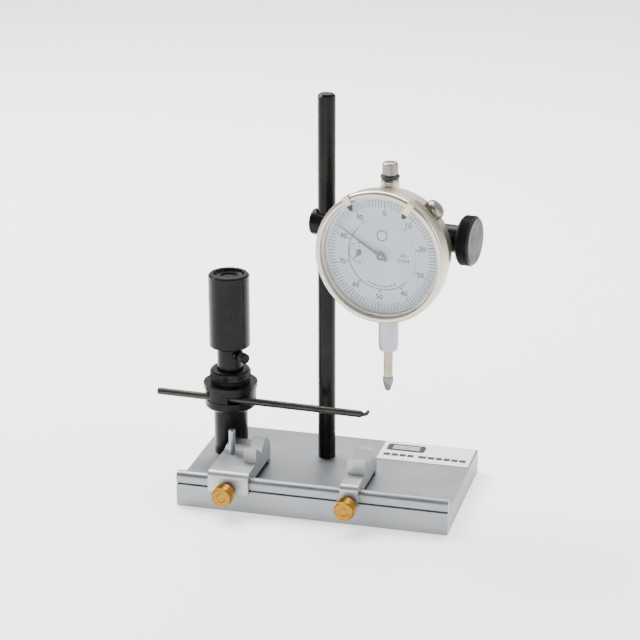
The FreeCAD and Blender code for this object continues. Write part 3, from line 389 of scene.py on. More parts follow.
def along(matrix: Matrix, node: str) -> tuple[float, float]:
    """How far a node's mesh reaches along a matrix's Z.

    Args:
        matrix: the frame that is measured in.
        node: a CAD node.
    Returns:
        The lowest and highest heights.
    """
    inverse = matrix.inverted()
    heights = [(inverse @ vertex.co).z for vertex in frame["nodes"][node].data.vertices]
    return min(heights), max(heights)


def new_object(name: str, data: bpy.types.ID) -> Piece:
    """Links a mesh, curve, light or camera into the scene as an object at the origin."""
    obj = bpy.data.objects.new(name, data)
    bpy.context.scene.collection.objects.link(obj)
    return obj


def shade(mesh: bpy.types.Mesh, degrees: float = 32.0) -> None:
    """Shades a mesh smooth between its sharp edges."""
    mesh.shade_smooth()
    mesh.set_sharp_from_angle(angle=math.radians(degrees))


def polar(radius: float, angle: float) -> tuple[float, float]:
    """The x and y of a point at an angle in radians."""
    return radius * math.cos(angle), radius * math.sin(angle)


def rounded(profile: Profile, radii: dict[int, float], steps: int = 4) -> list[tuple[float, float]]:
    """Rounds chosen corners of a profile.

    Args:
        profile: corner points in order.
        radii: corner number with its rounding radius.
        steps: segments of each rounding.
    Returns:
        The new points.
    """
    points: list[tuple[float, float]] = []
    count = len(profile)
    for number, corner in enumerate(profile):
        radius = radii.get(number, 0.0)
        if not radius:
            points.append(corner)
            continue
        here = Vector(corner)
        before = Vector(profile[number - 1]) - here
        after = Vector(profile[(number + 1) % count]) - here
        reach = min(radius, before.length * 0.49, after.length * 0.49)
        start = here + before.normalized() * reach
        end = here + after.normalized() * reach
        for step in range(steps + 1):
            t = step / steps
            point = start * (1 - t) ** 2 + here * 2 * t * (1 - t) + end * t ** 2
            points.append((point.x, point.y))
    return points


def lathe(name: str, profile: Profile, matrix: Matrix, segments: int = 96) -> Piece:
    """Turns a closed profile about a matrix's Z.

    Args:
        name: the piece's name.
        profile: (radius, height) points that go round the section; a radius of nought closes a pole.
        matrix: the turning axis.
        segments: facets round the axis.
    Returns:
        The piece.
    """
    mesh = bpy.data.meshes.new(name)
    work = bmesh.new()
    rings: list[list[bmesh.types.BMVert]] = []
    for radius, height in profile:
        if radius < 1e-7:
            rings.append([work.verts.new((0, 0, height))])
            continue
        rings.append([work.verts.new((*polar(radius, FULL_TURN * i / segments), height))
                      for i in range(segments)])
    for first, second in zip(rings, rings[1:] + rings[:1]):
        for i in range(segments):
            following = (i + 1) % segments
            loop = [first[i % len(first)], first[following % len(first)],
                    second[following % len(second)], second[i % len(second)]]
            unique = list(dict.fromkeys(loop))
            if len(unique) > 2:
                work.faces.new(unique)
    bmesh.ops.recalc_face_normals(work, faces=work.faces)
    work.to_mesh(mesh)
    work.free()
    mesh.transform(matrix)
    shade(mesh)
    return new_object(name, mesh)


def prism(name: str, outline: Profile, low: float, high: float, matrix: Matrix) -> Piece:
    """Stands a flat outline up between two heights of a matrix.

    Args:
        name: the piece's name.
        outline: anticlockwise corner points.
        low: lower height.
        high: upper height.
        matrix: the frame that the outline lies in.
    Returns:
        The piece.
    """
    mesh = bpy.data.meshes.new(name)
    work = bmesh.new()
    floor = [work.verts.new((x, y, low)) for x, y in outline]
    roof = [work.verts.new((x, y, high)) for x, y in outline]
    work.faces.new(list(reversed(floor)))
    work.faces.new(roof)
    for i, vertex in enumerate(floor):
        following = (i + 1) % len(floor)
        work.faces.new([vertex, floor[following], roof[following], roof[i]])
    bmesh.ops.recalc_face_normals(work, faces=work.faces)
    work.to_mesh(mesh)
    work.free()
    mesh.transform(matrix)
    return new_object(name, mesh)


def rectangle(x: float, y: float, wide: float, deep: float) -> list[tuple[float, float]]:
    """A rectangle's corners, anticlockwise from its lower left one."""
    return [(x, y), (x + wide, y), (x + wide, y + deep), (x, y + deep)]


def joined(name: str, pieces: Sequence[Piece]) -> Piece:
    """Makes several objects one, with all their materials.

    Args:
        name: the new piece's name.
        pieces: objects at the origin.
    Returns:
        The piece.
    """
    work = bmesh.new()
    materials: list[Material] = []
    for piece in pieces:
        start = len(work.faces)
        work.from_mesh(piece.data)
        work.faces.ensure_lookup_table()
        own = list(piece.data.materials)
        for face in work.faces[start:]:
            material = own[face.material_index] if own else None
            if material not in materials:
                materials.append(material)
            face.material_index = materials.index(material)
    mesh = bpy.data.meshes.new(name)
    work.to_mesh(mesh)
    work.free()
    for material in materials:
        mesh.materials.append(material)
    for piece in pieces:
        bpy.data.objects.remove(piece)
    return new_object(name, mesh)


def dress(obj: Piece, material: Material) -> Piece:
    """Gives a whole piece one material."""
    obj.data.materials.clear()
    obj.data.materials.append(material)
    return obj


def add_piece(obj: Piece, body: str, slot: str, *nodes: str) -> Piece:
    """Puts a finished piece on its body.

    Args:
        obj: the piece.
        body: the CAD body that it moves with.
        slot: the record's material slot; not used.
        nodes: CAD nodes that it stands for.
    Returns:
        The piece.
    """
    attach(obj, body)
    if nodes:
        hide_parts(*nodes)
    log.info("%s on %s: %d faces", obj.name, body, len(obj.data.polygons))
    return obj


def finish_nodes(material: Material, *nodes: str) -> None:
    """Gives CAD nodes a better material and leaves their shape alone."""
    for node in nodes:
        for slot in frame["nodes"][node].material_slots:
            slot.material = material
        log.info("%s: finish %s", node, material.name)


# ---- Geometry Nodes for what repeats ----
class Tooth(Enum):
    """The tooth of a knurl."""

    DIAMOND = "diamond"
    STRAIGHT = "straight"


class Repeater:
    """A Geometry Nodes tree with named inputs that is applied once for each piece."""

    def __init__(self, name: str, sizes: dict[str, float]) -> None:
        """Starts the tree.

        Args:
            name: the tree's name.
            sizes: its named inputs with their defaults.
        """
        self.tree = bpy.data.node_groups.new(name, "GeometryNodeTree")
        self.board = Board(self.tree)
        self.keys: dict[str, str] = {}
        for label, value in sizes.items():
            socket = self.tree.interface.new_socket(name=label, in_out="INPUT",
                                                    socket_type="NodeSocketFloat")
            socket.default_value = value
            self.keys[label] = socket.identifier
        self.tree.interface.new_socket(name="Geometry", in_out="OUTPUT",
                                       socket_type="NodeSocketGeometry")
        self.inputs = self.board.place("NodeGroupInput")

    def size(self, label: str) -> Wire:
        """One of the named inputs."""
        return Wire(self.board, self.inputs.outputs[label])

    def spread(self, count: Wire, position: Wire, shape: Wire, turn: Wire, scale: Wire) -> Wire:
        """Puts a copy of a shape on each of a number of points.

        Args:
            count: how many.
            position: each one's place, from its index.
            shape: what is copied.
            turn: each one's Euler angles.
            scale: each one's size.
        Returns:
            The instances.
        """
        points = self.board.node("GeometryNodePoints", None, {"Count": count, "Position": position})
        rotation = self.board.node("FunctionNodeEulerToRotation", None, {0: turn})
        return self.board.node("GeometryNodeInstanceOnPoints", None, {
            "Points": points, "Instance": shape, "Rotation": rotation, "Scale": scale})

    def close(self, instances: Wire, material: Material) -> None:
        """Ends the tree in Realize Instances and Set Material."""
        real = self.board.node("GeometryNodeRealizeInstances", None, {"Geometry": instances})
        painted = self.board.node("GeometryNodeSetMaterial", None,
                                  {"Geometry": real, "Material": material})
        out = self.board.place("NodeGroupOutput")
        self.board.tree.links.new(painted.socket, out.inputs[0])

    def build(self, name: str, matrix: Matrix, **sizes: float) -> Piece:
        """Runs the tree once and keeps its result as a plain mesh.

        Args:
            name: the piece's name.
            matrix: where the result goes.
            sizes: values of the named inputs.
        Returns:
            The piece.
        """
        holder = new_object(f"{name}_source", bpy.data.meshes.new(f"{name}_source"))
        modifier = holder.modifiers.new("repeat", "NODES")
        modifier.node_group = self.tree
        for label, value in sizes.items():
            modifier[self.keys[label]] = float(value)
        bpy.context.view_layer.update()
        evaluated = holder.evaluated_get(bpy.context.evaluated_depsgraph_get())
        mesh = bpy.data.meshes.new_from_object(evaluated)
        holder.modifiers.remove(modifier)
        bpy.data.objects.remove(holder)
        mesh.name = name
        mesh.transform(matrix)
        return new_object(name, mesh)


def knurl_tree(tooth: Tooth, material: Material) -> Repeater:
    """The tree that wraps teeth round a rim.

    Args:
        tooth: the tooth's form.
        material: its finish.
    Returns:
        The tree.
    """
    tree = Repeater(f"{tooth.value}_knurl_{material.name}", {
        "around": 60.0, "rows": 8.0, "radius": 0.01, "length": 0.005, "relief": 0.0003,
        "start": 0.0, "sweep": FULL_TURN})
    board = tree.board
    around, rows, radius = tree.size("around"), tree.size("rows"), tree.size("radius")
    length, relief = tree.size("length"), tree.size("relief")
    index = board.node("GeometryNodeInputIndex")
    row = (index / around).floor()
    column = index - row * around
    step = tree.size("sweep") / around
    angle = tree.size("start") + (column + 0.5 * (row % 2)) * step
    if tooth is Tooth.DIAMOND:
        row_step = length / (rows + 1)
        height = (row + 1) * row_step
        shape = board.node("GeometryNodeMeshCone", {"fill_type": "NONE"}, {
            "Vertices": 4, "Radius Top": 0.0, "Radius Bottom": 1.0, "Depth": 1.0})
        turn = board.vector(0.0, math.pi / 2, angle)
        scale = board.vector(row_step, radius * step * 0.5, relief)
    else:
        height = length * 0.5
        shape = board.node("GeometryNodeMeshCylinder", None, {"Vertices": 3, "Radius": 1.0, "Depth": 1.0})
        turn = board.vector(0.0, 0.0, angle)
        scale = board.vector(relief, radius * step * 0.577, length)
    place = board.vector(radius * angle.cosine(), radius * angle.sine(), height)
    tree.close(tree.spread(around * rows, place, shape, turn, scale), material)
    return tree


def graduation_tree(material: Material) -> Repeater:
    """The tree that prints a ring of graduation lines, longer at each fifth and tenth.

    Args:
        material: the ink.
    Returns:
        The tree.
    """
    tree = Repeater(f"graduation_{material.name}", {
        "count": 100.0, "outer": 0.026, "short": 0.0026, "middle": 0.0033, "long": 0.004,
        "width": 0.0002, "thick": 0.00002, "sweep": FULL_TURN})
    board = tree.board
    index = board.node("GeometryNodeInputIndex")
    fifth = (index % 5).below(0.5)
    tenth = (index % 10).below(0.5)
    short, middle = tree.size("short"), tree.size("middle")
    length = short + (middle - short) * fifth + (tree.size("long") - middle) * tenth
    angle = math.pi / 2 - index * tree.size("sweep") / tree.size("count")
    reach = tree.size("outer") - length * 0.5
    width = tree.size("width") * (1 + 0.35 * tenth)
    shape = board.node("GeometryNodeMeshCube", None, {"Size": (1.0, 1.0, 1.0)})
    place = board.vector(reach * angle.cosine(), reach * angle.sine(), tree.size("thick") * 0.5)
    tree.close(tree.spread(tree.size("count"), place, shape, board.vector(0.0, 0.0, angle),
                           board.vector(length, width, tree.size("thick"))), material)
    return tree


# ---- Lettering ----
def print_text(name: str, words: str, height: float, place: Matrix,
               material: Material) -> Piece:
    """Prints a number flat on a surface.

    Args:
        name: the piece's name.
        words: what is printed.
        height: the digits' height.
        place: the frame of its middle, with Z out of the surface.
        material: the ink.
    Returns:
        The piece as a mesh.
    """
    curve = bpy.data.curves.new(name, "FONT")
    curve.body = words
    curve.align_x = "CENTER"
    curve.align_y = "CENTER"
    curve.size = height * 1.4
    curve.resolution_u = 3
    curve.offset = height * 0.035
    curve.extrude = 0.00001
    holder = new_object(f"{name}_text", curve)
    bpy.context.view_layer.update()
    mesh = bpy.data.meshes.new_from_object(holder.evaluated_get(bpy.context.evaluated_depsgraph_get()))
    bpy.data.objects.remove(holder)
    mesh.transform(place)
    return dress(new_object(name, mesh), material)


def around_dial(plane: Matrix, radius: float, tenth: int) -> Matrix:
    """An upright place on a dial, a number of tenths of a turn clockwise from the top."""
    angle = math.pi / 2 - FULL_TURN * tenth / 10
    return plane @ Matrix.Translation((*polar(radius, angle), 0))


def ring_band(name: str, radius: float, width: float, matrix: Matrix, material: Material,
              start: float = 0.0, sweep: float = 360.0) -> Piece:
    """A thin printed circle, or an arc of one.

    Args:
        name: the piece's name.
        radius: the line's middle radius.
        width: the line's width.
        matrix: the frame that it lies in.
        material: the ink.
        start: where an arc starts, in degrees anticlockwise from the right.
        sweep: how many degrees it covers.
    Returns:
        The piece.
    """
    half = width / 2
    if sweep >= 360.0:
        profile = rectangle(radius - half, 0.0, width, PRINT_THICK)
        return dress(lathe(name, profile, matrix), material)
    steps = max(8, int(sweep / 4))
    turns = [math.radians(start + sweep * step / steps) for step in range(steps + 1)]
    outline = [polar(radius + half, t) for t in turns] + [polar(radius - half, t) for t in reversed(turns)]
    return dress(prism(name, outline, 0.0, PRINT_THICK, matrix), material)


# ---- Sub-assemblies ----
@dataclass
class Base:
    """The extrusion with its rail, the uprights' fixings and the printed label."""

    finishes: Finishes
    bar_bottom: float = 4.6 * MM
    bar_height: float = 3.1 * MM
    bar_widths: tuple[float, ...] = (3.4, 3.4, 3.2, 3.2, 0.0, 4.2, 3.4, 3.2, 3.2, 3.2, 3.4)
    bar_gap: float = 0.7
    word_gap: float = 1.6
    block_size: tuple[float, float] = (19.5 * MM, 8.2 * MM)

    def build(self) -> None:
        """Finishes the CAD nodes and prints the label."""
        finish_nodes(self.finishes.plate, "base_plate")
        finish_nodes(self.finishes.card, "base_label")
        finish_nodes(self.finishes.black, "rod_base_screw", "post_base_screw")
        finish_nodes(self.finishes.black_rod, "indicator_rod")
        self.label_print()

    def label_print(self) -> None:
        """A dark rounded block and a row of plain bars, in place of words."""
        low, high = corners("base_label")
        corner = Matrix.Translation((low.x, low.y, high.z))
        wide, deep = self.block_size
        left, bottom = 2.2 * MM, 11.2 * MM
        outline = rounded(rectangle(left, bottom, wide, deep), {n: 2.0 * MM for n in range(4)}, 6)
        pieces = [dress(prism("label_block", outline, 0.0, PRINT_THICK, corner), self.finishes.ink)]
        inset, line = 3.0 * MM, 0.6 * MM
        for number in range(3):
            y = bottom + deep * (0.3 + 0.2 * number)
            outline = rectangle(left + inset, y, wide - 2 * inset, line)
            pieces.append(dress(prism(f"label_line_{number}", outline, 0.0, PRINT_THICK * 2, corner),
                                self.finishes.card))
        x = left
        for number, width in enumerate(self.bar_widths):
            if width:
                outline = rectangle(x, self.bar_bottom, width * MM, self.bar_height)
                pieces.append(dress(prism(f"label_bar_{number}", outline, 0.0, PRINT_THICK, corner),
                                    self.finishes.ink))
            x += (width + self.bar_gap if width else self.word_gap) * MM
        add_piece(joined("label_print", pieces), "base", "label_print")


@dataclass
class Thumbscrew:
    """A brass screw with a knurled head, seen from its end."""

    finishes: Finishes
    side: str
    teeth: int = 26
    relief: float = 0.42 * MM
    head_length: float = 7.0 * MM
    knurl_length: float = 5.8 * MM
    neck: float = 2.75 * MM
    skirt: float = 2.65 * MM
    shank: float = 1.75 * MM
    dish: float = 0.25 * MM

    def build(self) -> None:
        """Replaces the CAD screw with a knurled one of the same size."""
        node = f"{self.side}_thumbscrew"
        axis = joint_frame(f"{self.side}_screw_turn")
        tip, face = along(axis, node)
        low, high = corners(node)
        radius = (high.x - low.x) / 2
        body = radius - self.relief
        head, dish = face - self.head_length, face - self.dish
        profile = rounded([
            (0.0, tip), (self.shank, 1.31 * MM), (self.shank, self.skirt), (self.neck, self.skirt),
            (self.neck, head), (body, head), (body, face), (radius * 0.42, face), (radius * 0.38, dish),
            (0.0, dish)], {5: 0.5 * MM, 6: 0.7 * MM}, 4)
        screw = dress(lathe(f"{self.side}_screw_body", profile, axis, 72), self.finishes.brass)
        teeth = knurl_tree(Tooth.DIAMOND, self.finishes.brass).build(
            f"{self.side}_screw_teeth", axis @ Matrix.Translation((0, 0, head + 0.45 * MM)),
            around=self.teeth, rows=10, radius=body - KNURL_SINK, length=self.knurl_length,
            relief=self.relief)
        add_piece(joined(f"{self.side}_thumbscrew_knurled", [screw, teeth]), f"{self.side}_screw",
                  "brass", node)


@dataclass
class Blocks:
    """Both V-blocks, the pin and the thumbscrews."""

    finishes: Finishes

    def build(self) -> None:
        """Finishes the blocks and builds their screws."""
        finish_nodes(self.finishes.block, "left_vblock", "right_vblock")
        finish_nodes(self.finishes.bright, "neck_pin")
        for side in ("left", "right"):
            Thumbscrew(self.finishes, side).build()


@dataclass
class PostStack:
    """Everything on the gauge post's axis."""

    finishes: Finishes
    nut_relief: float = 0.35 * MM

    def build(self) -> None:
        """Finishes the black turned pieces and knurls the nut and the stop screw."""
        finish_nodes(self.finishes.black, "gauge_post", "lower_collar", "upper_collar", "stop_sleeve")
        finish_nodes(self.finishes.probe, "probe_rod")
        self.nut()
        self.stop_screw()

    def nut(self) -> None:
        """The nut with a smooth skirt, a diamond knurl and a bevelled top."""
        axis = joint_frame("nut_turn")
        low, high = along(axis, "collar_nut")
        box_low, box_high = corners("collar_nut")
        radius = (box_high.x - box_low.x) / 2
        body = radius - self.nut_relief
        bore = 6.36 * MM
        knurl = low + 2.3 * MM
        profile = rounded([
            (bore, low), (radius - 0.5 * MM, low), (radius - 0.5 * MM, knurl - 0.3 * MM), (body, knurl),
            (body, high - 0.9 * MM), (body - 0.8 * MM, high), (bore + 0.4 * MM, high),
            (bore, high - 0.4 * MM)], {2: 0.15 * MM, 4: 0.2 * MM, 5: 0.2 * MM}, 3)
        nut = dress(lathe("nut_body", profile, axis), self.finishes.black)
        teeth = knurl_tree(Tooth.DIAMOND, self.finishes.nut_black).build(
            "nut_teeth", axis @ Matrix.Translation((0, 0, knurl)), around=44, rows=6,
            radius=body - KNURL_SINK, length=high - 0.85 * MM - knurl, relief=self.nut_relief)
        add_piece(joined("collar_nut_knurled", [nut, teeth]), "nut", "blackened_steel", "collar_nut")

    def stop_screw(self) -> None:
        """The small screw with a straight-knurled head."""
        axis = joint_frame("stop_lock_turn")
        low, high = along(axis, "stop_screw")
        radius, shank = 2.6 * MM, 1.4 * MM
        head = high - 4.0 * MM
        profile = rounded([
            (0.0, low), (shank - 0.3 * MM, low), (shank, low + 0.3 * MM), (shank, head),
            (radius - 0.15 * MM, head), (radius - 0.15 * MM, high), (0.0, high)],
            {4: 0.3 * MM, 5: 0.5 * MM}, 3)
        screw = dress(lathe("stop_screw_body", profile, axis, 48), self.finishes.black)
        teeth = knurl_tree(Tooth.STRAIGHT, self.finishes.knob_black).build(
            "stop_screw_teeth", axis @ Matrix.Translation((0, 0, head + 0.5 * MM)), around=24, rows=1,
            radius=radius - 0.25 * MM, length=2.9 * MM, relief=0.25 * MM)
        add_piece(joined("stop_screw_knurled", [screw, teeth]), "stop_lock", "blackened_steel",
                  "stop_screw")


@dataclass
class Clamp:
    """The clamp bar across the rod, with its big knob."""

    finishes: Finishes
    relief: float = 0.38 * MM

    def build(self) -> None:
        """Finishes the bar and builds the knurled knob."""
        finish_nodes(self.finishes.black, "clamp_body", "clamp_sleeve", "rod_bush")
        finish_nodes(self.finishes.bright, "clamp_stud")
        self.knob()

    def knob(self) -> None:
        """The knob with a diamond-knurled rim and a worn grey face."""
        axis = joint_frame("clamp_screw_turn")
        low, high = along(axis, "clamp_knob")
        radius = 11.9 * MM
        body = radius - self.relief
        profile = rounded([
            (3.1 * MM, low), (body - 0.8 * MM, low), (body, low + 0.8 * MM), (body, high - 0.75 * MM),
            (body - 0.7 * MM, high - 0.05 * MM), (3.1 * MM, high - 0.05 * MM), (3.1 * MM, high - 2.0 * MM),
            ], {2: 0.2 * MM, 3: 0.2 * MM}, 3)
        rim = dress(lathe("knob_body", profile, axis, 128), self.finishes.knob_black)
        face = dress(lathe("knob_face", [
            (0.0, high - 1.9 * MM), (body - 0.75 * MM, high - 0.3 * MM), (body - 0.72 * MM, high),
            (0.0, high)], axis, 128), self.finishes.worn_face)
        teeth = knurl_tree(Tooth.DIAMOND, self.finishes.knob_black).build(
            "knob_teeth", axis @ Matrix.Translation((0, 0, low + 0.75 * MM)), around=84, rows=12,
            radius=body - KNURL_SINK, length=high - low - 1.5 * MM, relief=self.relief)
        add_piece(joined("clamp_knob_knurled", [rim, face, teeth]), "clamp_screw", "blackened_steel",
                  "clamp_knob")


@dataclass
class DialPrint:
    """What is printed on the dial: graduation, numerals, circles and the small counter's ring, and a painted
    shadow arc at the fixed centre's edge.
    """

    finishes: Finishes
    axis: Matrix = field(default_factory=lambda: joint_frame("bezel_turn"))
    outer: float = 26.2 * MM
    numeral_radius: float = 20.3 * MM
    red_radius: float = 17.7 * MM
    counter_place: tuple[float, float] = (-11.2 * MM, 0.0)
    bezel_turn: float = math.radians(-3.0)
    dashes: int = 9
    dash_radius: float = 14.9 * MM
    dash_step: float = 6.5

    def build(self) -> None:
        """Prints the outer ring, which turns with the bezel, and the fixed centre, with a painted shadow arc
        on the centre's edge.
        """
        face = along(self.axis, "dial_face")[1]
        plane = self.axis @ Matrix.Translation((0, 0, face))
        turned = plane @ Matrix.Rotation(self.bezel_turn, 4, "Z")
        pieces = [
            graduation_tree(self.finishes.grey_ink).build(
                "main_graduation", turned, count=100, outer=self.outer, short=3.0 * MM, middle=3.2 * MM,
                long=3.6 * MM, width=0.32 * MM, thick=PRINT_THICK, sweep=FULL_TURN),
            ring_band("outer_circle", self.outer + 0.1 * MM, 0.14 * MM, plane, self.finishes.grey_ink),
        ]
        add_piece(joined("dial_ring_printing", pieces + self.numerals(turned)), "bezel", "dial_print")
        # painted shadow: a grey-ink half circle on the left and lower edge of the fixed centre, standing for
        # the shade at the step to the turning ring
        arc = ring_band("painted_shadow_arc", 16.5 * MM, 0.34 * MM, plane, self.finishes.grey_ink, 135, 180)
        add_piece(joined("dial_centre_print_and_shadow", [arc] + self.counter(plane) + self.marks(plane)),
                  "indicator", "dial_print")

    def numerals(self, plane: Matrix) -> list[Piece]:
        """The ten black numerals and the small red ones that count the other way."""
        look = self.finishes
        made = []
        for number in range(10):
            made.append(print_text(f"numeral_{number}", str(number * 10), 2.5 * MM,
                                   around_dial(plane, self.numeral_radius, number), look.ink))
            if number:
                made.append(print_text(f"back_numeral_{number}", str(100 - number * 10), 1.2 * MM,
                                       around_dial(plane, self.red_radius, number), look.red_ink))
        return made

    def counter(self, plane: Matrix) -> list[Piece]:
        """The turn counter's ring, lines and numerals."""
        x, y = self.counter_place
        centre = plane @ Matrix.Translation((x, y, 0))
        made = [
            ring_band("counter_circle", 4.9 * MM, 0.3 * MM, centre, self.finishes.grey_ink, 75, 215),
            graduation_tree(self.finishes.grey_ink).build(
                "counter_graduation", centre, count=10, outer=4.85 * MM, short=1.1 * MM,
                middle=1.1 * MM, long=1.4 * MM, width=0.22 * MM, thick=PRINT_THICK, sweep=FULL_TURN),
        ]
        for number in range(0, 10, 2):
            made.append(print_text(f"counter_numeral_{number}", str(number), 0.95 * MM,
                                   around_dial(centre, 2.9 * MM, number), self.finishes.grey_ink))
        return made

    def marks(self, plane: Matrix) -> list[Piece]:
        """The value of one line, a plain ring above the centre and a row of dashes below it."""
        look = self.finishes
        made = [print_text(name, words, 1.55 * MM, plane @ Matrix.Translation((10.6 * MM, y * MM, 0)),
                           look.ink)
                for name, words, y in (("line_value", ".001", 1.1), ("line_value_metric", "0.0254", -1.4))]
        made.append(ring_band("plain_mark", 2.4 * MM, 0.55 * MM,
                              plane @ Matrix.Translation((0, 9.6 * MM, 0)), look.grey_ink))
        outline = rectangle(-0.5 * MM, -0.35 * MM, 1.0 * MM, 0.7 * MM)
        for number in range(self.dashes):
            step = Matrix.Rotation(math.radians((number - self.dashes // 2) * self.dash_step), 4, "Z")
            place = plane @ step @ Matrix.Translation((0, -self.dash_radius, 0))
            made.append(dress(prism(f"dash_{number}", outline, 0.0, PRINT_THICK, place), look.grey_ink))
        return made


@dataclass
class Indicator:
    """The dial indicator with its bezel, markers, cap and screws."""

    finishes: Finishes
    axis: Matrix = field(default_factory=lambda: joint_frame("bezel_turn"))
    rim_radius: float = 31.7 * MM
    knurl_length: float = 4.6 * MM
    clip_sheet: float = 0.35 * MM
    clip_half: float = 1.6 * MM

    def build(self) -> None:
        """Finishes the CAD nodes and builds the detailed pieces."""
        look = self.finishes
        finish_nodes(look.nickel, "indicator_case", "back_cover", "upper_guard")
        finish_nodes(look.bright, "stem", "back_screws", "centre_arbor")
        finish_nodes(look.spindle, "spindle_rod")
        finish_nodes(look.contact, "contact_point")
        finish_nodes(look.rubber, "bumper_ring")
        finish_nodes(look.dial, "dial_face", "dial_centre")
        finish_nodes(look.crystal, "crystal")
        finish_nodes(look.pointer, "main_pointer", "counter_pointer")
        finish_nodes(look.brass, "counter_arbor", "movement_frame", "drive_gear")
        finish_nodes(look.blued, "hairspring", "return_spring")
        self.bezel()
        self.lift_cap()
        self.lock_screw()
        for side, tint in (("low", look.nickel), ("high", look.pale_gold)):
            self.marker(side, tint)
        DialPrint(look).build()

    def bezel(self) -> None:
        """The rim with a rounded outer edge, a sloping inner lip and two knurled stretches whose teeth take
        the darker cap finish as painted shade.
        """
        low, high = along(self.axis, "bezel")
        outer, bore, glass, wall = self.rim_radius, 28.26 * MM, 28.8 * MM, 27.9 * MM
        ledge = along(self.axis, "crystal")[0]
        step = along(self.axis, "indicator_case")[1] + 0.3 * MM
        profile = rounded([
            (bore, low), (outer - 0.3 * MM, low), (outer - 0.3 * MM, low + self.knurl_length),
            (outer, low + 5.0 * MM), (outer, high - 1.1 * MM), (outer - 0.9 * MM, high),
            (glass + 0.35 * MM, high), (glass, high - 0.8 * MM), (glass, ledge), (wall, ledge),
            (wall, step), (bore, step)],
            {1: 0.3 * MM, 4: 1.0 * MM, 5: 1.0 * MM, 6: 0.4 * MM}, 5)
        rim = dress(lathe("bezel_rim", profile, self.axis, 192), self.finishes.nickel)
        pieces = [rim]
        # painted shade: the knurl teeth get the darker cap finish, not the rim's nickel, to stand for shade
        # between the teeth
        for number, start in enumerate((28.0, 208.0)):
            pieces.append(knurl_tree(Tooth.STRAIGHT, self.finishes.cap).build(
                f"bezel_knurl_{number}", self.axis @ Matrix.Translation((0, 0, low + 0.4 * MM)),
                around=22, rows=1, radius=outer - 0.3 * MM, length=self.knurl_length, relief=0.3 * MM,
                start=math.radians(start), sweep=math.radians(34.0)))
        add_piece(joined("bezel_turned", pieces), "bezel", "satin_chrome", "bezel")

    def lift_cap(self) -> None:
        """The fluted cap with a bright domed top."""
        low, high = corners("lift_cap")
        centre = (low + high) / 2
        axis = Matrix.Translation((centre.x, centre.y, 0))
        radius, bore = (high.x - low.x) / 2, 2.18 * MM
        body = radius - 0.22 * MM
        profile = rounded([
            (bore, low.z), (body, low.z), (body, high.z - 1.3 * MM), (radius - 0.1 * MM, high.z - 1.2 * MM),
            (radius - 0.1 * MM, high.z - 0.9 * MM), (radius - 1.0 * MM, high.z - 0.2 * MM), (0.0, high.z),
            (0.0, high.z - 2.5 * MM), (bore, high.z - 2.5 * MM)], {4: 0.3 * MM, 5: 0.8 * MM}, 4)
        cap = dress(lathe("cap_body", profile, axis, 72), self.finishes.cap)
        teeth = knurl_tree(Tooth.STRAIGHT, self.finishes.cap).build(
            "cap_teeth", axis @ Matrix.Translation((0, 0, low.z + 0.3 * MM)), around=26, rows=1,
            radius=body - 0.1 * MM, length=high.z - 1.4 * MM - low.z, relief=0.3 * MM)
        add_piece(joined("lift_cap_fluted", [cap, teeth]), "spindle", "satin_chrome", "lift_cap")

    def lock_screw(self) -> None:
        """The domed screw with a straight-knurled edge."""
        axis = joint_frame("bezel_lock_turn")
        low, high = along(axis, "bezel_lock_screw")
        radius, shank = 4.8 * MM, 1.5 * MM
        foot = high - 5.6 * MM
        body = radius - 0.25 * MM
        dome = [(body * math.cos(t), high - 1.9 * MM + 1.9 * MM * math.sin(t))
                for t in (0.25, 0.5, 0.8, 1.1, 1.35)]
        profile = [(0.0, low), (shank, low), (shank, foot), (body - 0.4 * MM, foot), (body, foot + 0.4 * MM),
                   (body, high - 1.9 * MM), *dome, (0.0, high)]
        screw = dress(lathe("lock_body", profile, axis, 72), self.finishes.cap)
        teeth = knurl_tree(Tooth.STRAIGHT, self.finishes.cap).build(
            "lock_teeth", axis @ Matrix.Translation((0, 0, foot + 0.5 * MM)), around=44, rows=1,
            radius=body - 0.05 * MM, length=2.9 * MM, relief=0.28 * MM)
        add_piece(joined("bezel_lock_screw_knurled", [screw, teeth]), "bezel_lock", "satin_chrome",
                  "bezel_lock_screw")

    def marker(self, side: str, tint: Material) -> None:
        """A spring clip over the bezel's rim with a dark flag over the glass.

        Args:
            side: which marker.
            tint: the clip's finish.
        """
        node = f"{side}_marker"
        inverse = self.axis.inverted()
        spots = [inverse @ vertex.co for vertex in frame["nodes"][node].data.vertices]
        middle = sum((Vector((spot.x, spot.y)) for spot in spots), Vector((0, 0))) / len(spots)
        turn = Matrix.Rotation(math.atan2(middle.y, middle.x), 4, "Z")
        front = max(spot.z for spot in spots)
        low = min(spot.z for spot in spots)
        sheet, half = self.clip_sheet, self.clip_half
        rim = self.rim_radius + 0.08 * MM
        tip, base = (24.9 * MM, 27.7 * MM) if side == "low" else (23.65 * MM, 25.9 * MM)
        section = rounded([
            (low, rim), (low, rim + sheet), (front, rim + sheet), (front, base),
            (front - sheet, base), (front - sheet, rim)], {2: 0.5 * MM, 5: 0.2 * MM}, 4)
        lay = Matrix(((0, 1, 0, 0), (0, 0, 1, 0), (1, 0, 0, 0), (0, 0, 0, 1)))
        clip = dress(prism(f"{side}_clip", section, -half, half, self.axis @ turn @ lay), tint)
        flag = dress(prism(f"{side}_flag", [
            (tip, -0.7 * MM), (base + 0.2 * MM, -1.58 * MM), (base + 0.2 * MM, 1.58 * MM),
            (tip, 0.7 * MM)], front - sheet * 0.9, front - sheet * 0.2, self.axis @ turn),
            self.finishes.pointer)
        add_piece(joined(f"{side}_marker_clip", [clip, flag]), f"{side}_clip", "satin_chrome", node)


